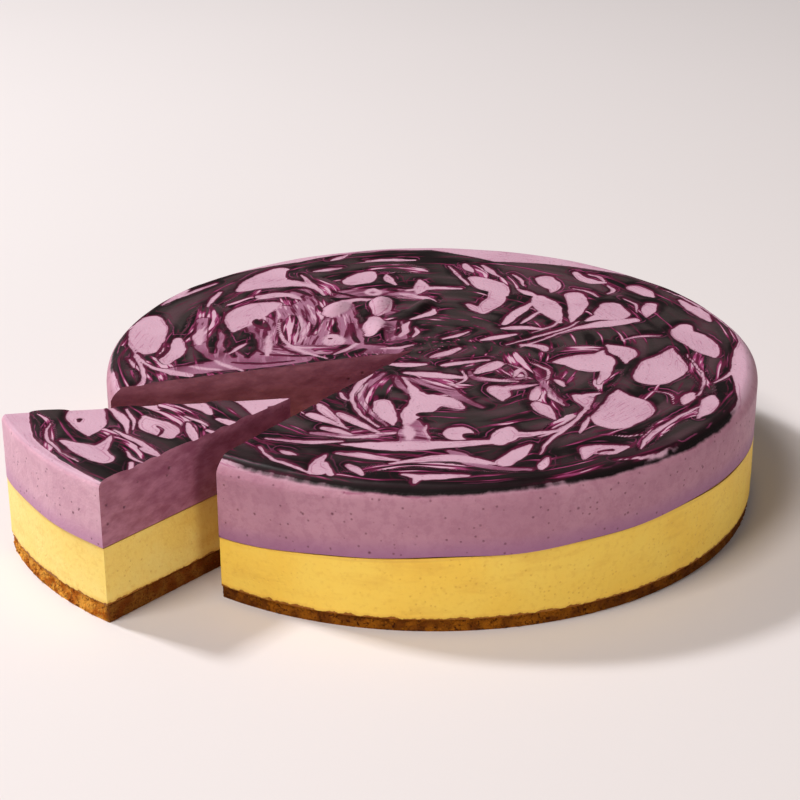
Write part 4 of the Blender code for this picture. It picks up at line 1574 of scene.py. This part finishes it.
class MousseLayer:
    """The mousse of the cake or of the slice, with its marbled top."""

    BEVEL = 1.4
    ROUND_RINGS = 6
    RAISE = 0.0003
    GEL_RISE = 0.0008
    GEL_START = 0.3
    GEL_SOFT = 1.5
    GEL_SCALE = 9.0
    UNEVEN = 0.0002
    UNEVEN_SCALE = 21.0
    MOUND_FOOT = 1.4
    WOBBLES = ((0.00038, 5.0, 1.0), (0.0002, 13.0, 0.0))
    FOOT_START = 0.001
    FOOT_REACH = 0.006
    NO_GEL = -6.0
    NO_GEL_BELOW = 0.05
    VEIL_ABOVE = 0.9
    FLAT = 0.999
    SHARP = math.radians(60.0)

    def __init__(self, part: Part, shape: CakeShape, flat_rings: int, side_rings: int) -> None:
        """Keep what the layer is made from.

        Args:
            part: Cake or slice.
            shape: Driving sizes.
            flat_rings: Rings of faces over the flat top.
            side_rings: Rings of faces down the side.
        """
        self.part = part
        self.shape = shape
        self.layers = LAYERS[part]
        self.marbling = MARBLING[part]
        self.flat_rings = flat_rings
        self.side_rings = side_rings

    def _rings(self) -> tuple:
        """Rings of the layer, from the middle outwards and down.

        Returns:
            Radius, height and share of the way down the side, for each ring.
        """
        shape = self.shape
        rounding = self.layers.rounding
        flat = np.linspace(0.0, shape.radius - rounding, self.flat_rings + 1)
        turn = np.linspace(0.0, math.pi / 2.0, self.ROUND_RINGS + 1)[1:]
        bend = shape.radius - rounding * (1.0 - np.sin(turn) ** self.BEVEL)
        drop = shape.top - rounding * (1.0 - np.cos(turn) ** self.BEVEL)
        down = np.linspace(0.0, 1.0, self.side_rings + 1)[1:]
        radius = np.concatenate([flat, bend, np.full(self.side_rings, shape.radius)])
        height = np.concatenate([np.full(flat.shape, shape.top), drop, np.full(self.side_rings, drop[-1])])
        share = np.concatenate([np.zeros(self.flat_rings + 1 + self.ROUND_RINGS), down])
        return radius, height, share

    def _round(self, places: np.ndarray) -> np.ndarray:
        """Carry a flat square grid onto the round top, its rounded edge and its side.

        Args:
            places: The grid's points, from -1 to 1 in X and Y.

        Returns:
            The same points on the layer, in metres.
        """
        radius, height, share = self._rings()
        count = len(radius) - 1
        x, y = places[:, 0], places[:, 1]
        ring = np.rint(np.maximum(abs(x), abs(y)) * count).astype(int)
        wide = abs(x) >= abs(y)
        safe_x = np.where(x == 0.0, 1.0, x)
        safe_y = np.where(y == 0.0, 1.0, y)
        angle = np.where(wide, math.pi / 4.0 * y / safe_x, math.pi / 2.0 - math.pi / 4.0 * x / safe_y)
        angle = angle + np.where(np.where(wide, x, y) < 0.0, math.pi, 0.0)
        wobble = sum(high * np.sin(waves * angle + start) for high, waves, start in self.WOBBLES)
        reach = radius[ring] * (1.0 + wobble * (radius[ring] / radius[-1]) ** 4 / radius[-1])
        px, py = reach * np.cos(angle), reach * np.sin(angle)
        bottom = self.layers.cream_height(px, py, self.shape.radius) + self.shape.gap
        pz = height[ring] + (bottom - height[ring]) * share[ring]
        return np.stack([px, py, pz], axis=1)

    def _relief(self, x: np.ndarray, y: np.ndarray, depth: np.ndarray) -> np.ndarray:
        """Height of the gel and of the mounds over the flat top.

        Args:
            x: Places along X, in millimetres.
            y: Places along Y.
            depth: Depth inside the gel, in millimetres.

        Returns:
            The heights, in metres.
        """
        broad = self.marbling.broad
        gel = 1.0 - np.exp(-np.maximum(depth + self.GEL_START, 0.0) / self.GEL_SOFT)
        uneven = 0.9 + 0.2 * broad.at(x / self.GEL_SCALE, y / self.GEL_SCALE)
        relief = self.RAISE + self.GEL_RISE * gel * uneven
        relief = relief + self.UNEVEN * broad.at(x / self.UNEVEN_SCALE, y / self.UNEVEN_SCALE)
        if self.part is Part.CAKE:
            for mound in MOUNDS:
                along, across = turned_place(mound, x, y)
                reach = (2.0 * along / mound.length) ** 2 + (2.0 * across / mound.width) ** 2
                relief = relief + mound.height * MM * np.maximum(1.0 - reach / self.MOUND_FOOT, 0.0) ** 2
        return relief

    def build(self, materials: tuple) -> bpy.types.Object:
        """Make the layer's object.

        Args:
            materials: The marbled finish and the finish of the cut sides.

        Returns:
            The finished object, at the origin.
        """
        radius, _, _ = self._rings()
        cells = 2 * (len(radius) - 1)
        shape = bmesh.new()
        bmesh.ops.create_grid(shape, x_segments=cells, y_segments=cells, size=1.0)
        rough = finished_mesh(shape, "rough")
        rough.vertices.foreach_set("co", self._round(points_of(rough)).ravel())
        shape = bmesh.new()
        shape.from_mesh(rough)
        bpy.data.meshes.remove(rough)
        rim = [e for e in shape.edges if e.is_boundary]
        bmesh.ops.contextual_create(shape, geom=rim)
        bmesh.ops.recalc_face_normals(shape, faces=shape.faces)
        for face in LayerCutter(self.shape).cut(shape, self.part):
            face.material_index = 1
        bmesh.ops.recalc_face_normals(shape, faces=shape.faces)
        mesh = finished_mesh(shape, f"{self.part.value}_mousse_finish")
        self._dress(mesh)
        for material in materials:
            mesh.materials.append(material)
        return bpy.data.objects.new(mesh.name, mesh)

    def _dress(self, mesh: bpy.types.Mesh) -> None:
        """Raise the gel, keep the pattern in the mesh and draw the slice out.

        Args:
            mesh: The layer, cut.
        """
        places = points_of(mesh)
        radius = np.hypot(places[:, 0], places[:, 1]) / MM
        angle = np.arctan2(places[:, 1], places[:, 0])
        line = self.layers.cream_height(places[:, 0], places[:, 1], self.shape.radius)
        if self.part is Part.SLICE:
            places = self.shape.drawn_out(places)
        x, y = places[:, 0] / MM, places[:, 1] / MM
        floor = self.shape.top - self.layers.rounding
        level = np.clip((places[:, 2] - floor) / self.layers.rounding, 0.0, 1.0)
        foot = np.clip(1.0 - (places[:, 2] - line - self.FOOT_START) / self.FOOT_REACH, 0.0, 1.0)
        depth = self.marbling.depth(x, y, radius, angle)
        depth = np.where(level > self.NO_GEL_BELOW, depth, self.NO_GEL)
        places[:, 2] += self._relief(x, y, depth) * level
        mesh.vertices.foreach_set("co", places.ravel())
        across, along, strength = self.marbling.streaks(x, y)
        strength = strength * (level > self.VEIL_ABOVE)
        pale = np.where(level < self.FLAT, 1.0, self.marbling.pale(x, y, radius, angle))
        kept = {"pale": pale, "gel_depth": depth, "level": level, "veil": strength, "foot": foot}
        for name, values in kept.items():
            mesh.attributes.new(name, "FLOAT", "POINT").data.foreach_set("value", values)
        flow = mesh.attributes.new("flow", "FLOAT_VECTOR", "POINT")
        flow.data.foreach_set("vector", np.stack([across, along, 0.0 * along], axis=1).ravel())
        mesh.shade_smooth()
        mesh.set_sharp_from_angle(angle=self.SHARP)
        mesh.update()


class FlatLayer:
    """A plain round layer, cut like the cake: the yellow layer or the crumb base."""

    STEPS = 720
    GRAIN_LENGTH = 0.0019
    GRAIN_HEIGHT = 0.0016
    GRAIN_SEED = 5
    SHARP = math.radians(50.0)

    def __init__(self, name: str, part: Part, shape: CakeShape, top: float | None) -> None:
        """Keep what the layer is made from.

        Args:
            name: The object's name.
            part: Cake or slice.
            shape: Driving sizes.
            top: Height of its top, or None where it follows the line under the mousse.
        """
        self.name = name
        self.part = part
        self.shape = shape
        self.layers = LAYERS[part]
        self.top = top

    def build(
        self, bottom: float, rows: int, edge: float, wobble: float, material: bpy.types.Material
    ) -> bpy.types.Object:
        """Make the layer's object.

        Args:
            bottom: Height of its underside.
            rows: Rows of faces up its side.
            edge: Radius of its side.
            wobble: How uneven the side is.
            material: Its finish.

        Returns:
            The finished object, at the origin.
        """
        top = self.top if self.top is not None else self.layers.cream_top
        shape = bmesh.new()
        heights = [bottom + (top - bottom) * row / rows for row in range(rows + 1)]
        profile = [shape.verts.new((edge, 0.0, height)) for height in heights]
        for first, second in zip(profile, profile[1:]):
            shape.edges.new((first, second))
        bmesh.ops.spin(
            shape,
            geom=[*shape.verts, *shape.edges],
            cent=(0.0, 0.0, 0.0),
            axis=(0.0, 0.0, 1.0),
            angle=math.tau,
            steps=self.STEPS,
            use_merge=True,
        )
        bmesh.ops.remove_doubles(shape, verts=shape.verts, dist=1e-6)
        for height in (bottom, top):
            rim = [
                e for e in shape.edges if e.is_boundary and all(abs(v.co.z - height) < 1e-7 for v in e.verts)
            ]
            bmesh.ops.contextual_create(shape, geom=rim)
        noise = PlaneNoise(self.GRAIN_SEED)
        for vertex in shape.verts:
            angle = math.atan2(vertex.co.y, vertex.co.x)
            row = vertex.co.z / self.GRAIN_HEIGHT
            bump = noise.at(np.array([angle * edge / self.GRAIN_LENGTH]), np.array([row])).item()
            share = (vertex.co.z - bottom) / (top - bottom)
            grow = 1.0 + wobble * bump * math.sin(math.pi * min(max(share, 0.0), 1.0)) / edge
            vertex.co.x *= grow
            vertex.co.y *= grow
            if self.top is None:
                x, y = np.array(vertex.co.x), np.array(vertex.co.y)
                line = float(self.layers.cream_height(x, y, self.shape.radius))
                vertex.co.z = bottom + (line - bottom) * share
        bmesh.ops.recalc_face_normals(shape, faces=shape.faces)
        LayerCutter(self.shape).cut(shape, self.part)
        bmesh.ops.recalc_face_normals(shape, faces=shape.faces)
        if self.part is Part.SLICE:
            shape.transform(self.shape.slice_matrix())
        mesh = finished_mesh(shape, self.name)
        mesh.shade_smooth()
        mesh.set_sharp_from_angle(angle=self.SHARP)
        mesh.materials.append(material)
        return bpy.data.objects.new(self.name, mesh)


class Crumbs:
    """Small baked crumbs that stand out from the crumb base's sides."""

    SIZES = (0.35, 1.0)
    SINK = 0.0004
    INSET = 0.0007
    CLEAR = 0.0005
    ALONG = (0.001, 0.112)
    LUMP = 0.22
    FLATTEST = 0.65
    TRIES = 6

    def __init__(self, part: Part, shape: CakeShape, seed: int) -> None:
        """Keep what the crumbs belong to.

        Args:
            part: Cake or slice.
            shape: Driving sizes.
            seed: Seed of their places and forms.
        """
        self.part = part
        self.shape = shape
        self.draw = np.random.default_rng(seed)
        self.top = LAYERS[part].crust_top

    def _round(self, count: int) -> np.ndarray:
        """Places along the round side.

        Args:
            count: How many.

        Returns:
            A row of x and y for each, in metres.
        """
        angle = self.draw.uniform(-math.pi, math.pi, count * self.TRIES)
        reach = self.shape.radius - self.SINK - self.INSET
        x, y = reach * np.cos(angle), reach * np.sin(angle)
        far, near = (np.array(normal) for normal in self.shape.cut_normals())
        corner = self.shape.corner
        past_far = (x - corner.x) * far[0] + (y - corner.y) * far[1]
        past_near = (x - corner.x) * near[0] + (y - corner.y) * near[1]
        within = np.minimum(past_far, past_near)
        kept = within > self.CLEAR if self.part is Part.SLICE else within < -self.CLEAR
        return np.stack([x, y], axis=1)[kept][:count]

    def _straight(self, angle: float, away: Vector, count: int) -> np.ndarray:
        """Places along one cut, a little inside the crumb base.

        Args:
            angle: The cut's angle from +X, in radians.
            away: The cut's normal.
            count: How many.

        Returns:
            A row of x and y for each, in metres.
        """
        way = self.shape.direction(angle)
        side = -1.0 if self.part is Part.CAKE else 1.0
        along = self.draw.uniform(*self.ALONG, count)
        x = self.shape.corner.x + way.x * along + side * self.SINK * away.x
        y = self.shape.corner.y + way.y * along + side * self.SINK * away.y
        return np.stack([x, y], axis=1)

    def build(self, rounded: int, straight: int, material: bpy.types.Material) -> bpy.types.Object:
        """Make the crumbs as one object.

        Args:
            rounded: Crumbs along the round side.
            straight: Crumbs along each cut.
            material: Their finish.

        Returns:
            The finished object, at the origin.
        """
        shape = bmesh.new()
        bmesh.ops.create_icosphere(shape, subdivisions=2, radius=1.0)
        grain = finished_mesh(shape, "grain")
        unit = points_of(grain)
        faces = np.array([face.vertices[:] for face in grain.polygons])
        bpy.data.meshes.remove(grain)
        far, near = self.shape.cut_normals()
        spots = np.concatenate([
            self._round(rounded),
            self._straight(self.shape.far_cut, far, straight),
            self._straight(self.shape.near_cut, near, straight),
        ])
        count = len(spots)
        size = self.draw.uniform(*self.SIZES, count) * MM
        height = self.draw.uniform(0.0, 1.0, count) * self.top
        height = np.clip(height, size, None)
        middle = np.column_stack([spots, height])
        if self.part is Part.SLICE:
            middle = self.shape.drawn_out(middle)
        lumps = 1.0 + self.draw.uniform(-self.LUMP, self.LUMP, (count, len(unit), 1))
        stretch = self.draw.uniform(self.FLATTEST, 1.0, (count, 1, 3))
        points = middle[:, None, :] + unit[None] * lumps * stretch * size[:, None, None]
        points[..., 2] = np.maximum(points[..., 2], 0.0)
        corners = (faces[None] + np.arange(count)[:, None, None] * len(unit)).reshape(-1, 3)
        mesh = bpy.data.meshes.new(f"{self.part.value}_crumbs")
        mesh.from_pydata(points.reshape(-1, 3), (), corners)
        mesh.shade_smooth()
        mesh.materials.append(material)
        return bpy.data.objects.new(mesh.name, mesh)


class Studio:
    """The floor, the light and the camera."""

    DISTANCE = 0.7476
    ELEVATION = math.radians(25.471)
    YAW = 0.01558
    PITCH = 0.03747
    ROLL = -0.00634
    FOCAL_PIXELS = 1963.07
    PICTURE_WIDTH = 800
    SENSOR = 36.0
    FLOOR_REACH = 6.0
    FACED = Vector((0.0, 0.0, 0.03))
    ROOM = (1.0, 0.93, 0.88, 1.0)
    ROOM_STRENGTH = 0.145
    LAMPS = (
        ("key", (-1.37, 0.607, 1.66), (0.27, 0.27), 35.0, (1.0, 0.99, 1.0)),
        ("front_fill", (-1.22, -1.02, 2.54), (1.0, 1.0), 53.0, (1.0, 0.935, 0.875)),
        ("low_fill", (1.5, -2.6, 0.55), (0.7, 0.6), 18.0, (1.0, 0.94, 0.88)),
    )

    def floor(self) -> None:
        """The plain floor, left out of the cake's body."""
        shape = bmesh.new()
        bmesh.ops.create_grid(shape, x_segments=8, y_segments=8, size=self.FLOOR_REACH)
        mesh = finished_mesh(shape, "floor")
        mesh.materials.append(FloorFinish("floor_pale").build())
        floor = bpy.data.objects.new("floor", mesh)
        bpy.context.scene.collection.objects.link(floor)

    def camera(self) -> None:
        """The camera at the picture's angle."""
        back = Vector((0.0, -math.cos(self.ELEVATION), math.sin(self.ELEVATION)))
        forward = -back
        right = Vector((1.0, 0.0, 0.0))
        upward = right.cross(forward)
        rows = Matrix((right, upward, forward))
        yaw = Matrix.Rotation(self.YAW, 3, "Y")
        pitch = Matrix.Rotation(self.PITCH, 3, "X")
        roll = Matrix.Rotation(self.ROLL, 3, "Z")
        seen = roll @ pitch @ yaw @ rows
        facing = Matrix((seen[0], seen[1], -seen[2])).transposed().to_4x4()
        data = bpy.data.cameras.new("camera")
        data.sensor_width = self.SENSOR
        data.lens = self.FOCAL_PIXELS / self.PICTURE_WIDTH * self.SENSOR
        data.clip_start = 0.01
        camera = bpy.data.objects.new("camera", data)
        camera.matrix_world = Matrix.Translation(self.DISTANCE * back) @ facing
        bpy.context.scene.collection.objects.link(camera)
        bpy.context.scene.camera = camera

    def lamp(self, name: str, place: tuple, size: tuple, power: float, colour: tuple) -> None:
        """A soft lamp that faces the cake.

        Args:
            name: The lamp's name.
            place: Where it hangs.
            size: Its width and its height.
            power: Its power, in watts.
            colour: Its colour.
        """
        data = bpy.data.lights.new(name, "AREA")
        data.shape = "RECTANGLE"
        data.size, data.size_y = size
        data.energy = power
        data.color = colour
        lamp = bpy.data.objects.new(name, data)
        lamp.location = place
        lamp.rotation_mode = "QUATERNION"
        lamp.rotation_quaternion = (self.FACED - Vector(place)).to_track_quat("-Z", "Y")
        bpy.context.scene.collection.objects.link(lamp)

    def light(self) -> None:
        """Soft light from the left, a little from behind, in a pale room."""
        world = bpy.data.worlds.new("room")
        world.use_nodes = True
        backdrop = world.node_tree.nodes["Background"]
        backdrop.inputs["Color"].default_value = self.ROOM
        backdrop.inputs["Strength"].default_value = self.ROOM_STRENGTH
        bpy.context.scene.world = world
        for settings in self.LAMPS:
            self.lamp(*settings)


class CheesecakeScene:
    """The whole scene, piece by piece."""

    FLAT_RINGS = {Part.CAKE: 138, Part.SLICE: 170}
    SIDE_RINGS = 11
    CRUMBS = {Part.CAKE: (1700, 120), Part.SLICE: (420, 420)}
    CRUMB_SEED = 31
    CREAM_INSET = 0.0001
    CREAM_ROWS = 6
    CREAM_WOBBLE = 0.0002
    CRUST_INSET = 0.0008
    CRUST_ROWS = 5
    CRUST_WOBBLE = 0.0010
    HEAD_DROP = 0.0006
    # Painted shade on the slice's crumbs along its near cut face: level angle, and where the shade begins and
    # is full, in metres.
    NEAR_FACE = (-39.0, -0.0112, -0.0092)

    def __init__(self) -> None:
        """Build the finishes."""
        self.shape = CakeShape()
        shelf = GroupShelf()
        # Painted light: the slice's side gets lighter side colours than the cake's, as it faces the light.
        painted_lit_side = {
            "side": srgb(220, 174, 192),
            "side_deep": srgb(196, 146, 168),
            "foot": srgb(184, 130, 168),
        }
        self.marbled = {
            Part.CAKE: MarbledFinish("marbled_mousse").build(shelf),
            Part.SLICE: MarbledFinish("marbled_mousse_slice", **painted_lit_side).build(shelf),
        }
        self.cut = {
            # Painted shade: the cake's cut faces, which lie in the notch, get darker colours than the
            # slice's.
            Part.CAKE: CutMousseFinish("cut_mousse", srgb(168, 104, 124), srgb(134, 74, 94)).build(shelf),
            Part.SLICE: CutMousseFinish("cut_mousse_slice").build(shelf),
        }
        self.cream = {
            Part.CAKE: self.cream_finish(Part.CAKE).build(shelf),
            # Painted light: the slice's yellow layer gets paler colours than the cake's, as its side faces
            # the light.
            Part.SLICE: self.cream_finish(Part.SLICE, srgb(255, 230, 136), srgb(255, 214, 98)).build(shelf),
        }
        # Painted light and shade: the slice's crumbs get lighter colours than the cake's, as its side faces
        # the light; the cake's darker crumbs are partly their own baked colour, partly painted shade.
        lit_crumb_colours = (srgb(232, 166, 66), srgb(178, 98, 20), srgb(92, 42, 6))
        near = (self.NEAR_FACE, self.NEAR_FACE)
        self.crumb = {
            Part.CAKE: CrumbFinish("crumb_browned_shaded").build(shelf),
            Part.SLICE: CrumbFinish("crumb_golden_lit", *lit_crumb_colours, sides=near, around=False).build(shelf),
        }

    def cream_finish(self, part: Part, *colours: tuple) -> CreamFinish:
        """The finish of the yellow layer, told where the crust and the mousse meet it.

        Args:
            part: The cake or the slice.
            colours: The main and the warm colour, where they aren't the usual ones.

        Returns:
            The finish.
        """
        layers = LAYERS[part]
        upright = (-layers.slope_x, -layers.slope_y, 1.0)
        head = layers.cream_top - self.HEAD_DROP
        sizes = {"foot": layers.crust_top, "head": head, "upright": upright}
        return CreamFinish(f"baked_cream_{part.value}", *colours, **sizes)

    def place(self, piece: bpy.types.Object, node: str, slot: str) -> None:
        """Add a piece that stands for a CAD node.

        Args:
            piece: The piece.
            node: The node that it replaces, or an empty name where it adds to one.
            slot: The record's material slot; not used.
        """
        bpy.context.scene.collection.objects.link(piece)
        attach(piece, BODY)
        if node:
            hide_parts(node)
        log.info("%s: %d faces", piece.name, len(piece.data.polygons))

    def build_part(self, part: Part) -> None:
        """Build the three layers of the cake or of the slice, and its crumbs.

        Args:
            part: The cake or the slice.
        """
        layers = LAYERS[part]
        name = part.value
        mousse = MousseLayer(part, self.shape, self.FLAT_RINGS[part], self.SIDE_RINGS)
        self.place(mousse.build((self.marbled[part], self.cut[part])), f"{name}_mousse", "berry_mousse")
        bottom = layers.crust_top + self.shape.gap
        edge = self.shape.radius - self.CREAM_INSET
        cream = FlatLayer(f"{name}_filling_finish", part, self.shape, None)
        made = cream.build(bottom, self.CREAM_ROWS, edge, self.CREAM_WOBBLE, self.cream[part])
        self.place(made, f"{name}_filling", "baked_cream")
        edge = self.shape.radius - self.CRUST_INSET
        crust = FlatLayer(f"{name}_crust_finish", part, self.shape, layers.crust_top)
        made = crust.build(0.0, self.CRUST_ROWS, edge, self.CRUST_WOBBLE, self.crumb[part])
        self.place(made, f"{name}_crust", "crumb")
        rounded, straight = self.CRUMBS[part]
        crumbs = Crumbs(part, self.shape, self.CRUMB_SEED)
        self.place(crumbs.build(rounded, straight, self.crumb[part]), "", "crumb")

    def run(self) -> None:
        """Build everything."""
        for part in Part:
            self.build_part(part)
        studio = Studio()
        studio.floor()
        studio.camera()
        studio.light()
        bpy.context.scene.view_settings.view_transform = "Standard"


def main() -> None:
    """Build the scene."""
    CheesecakeScene().run()


if __name__ == "__main__":
    main()
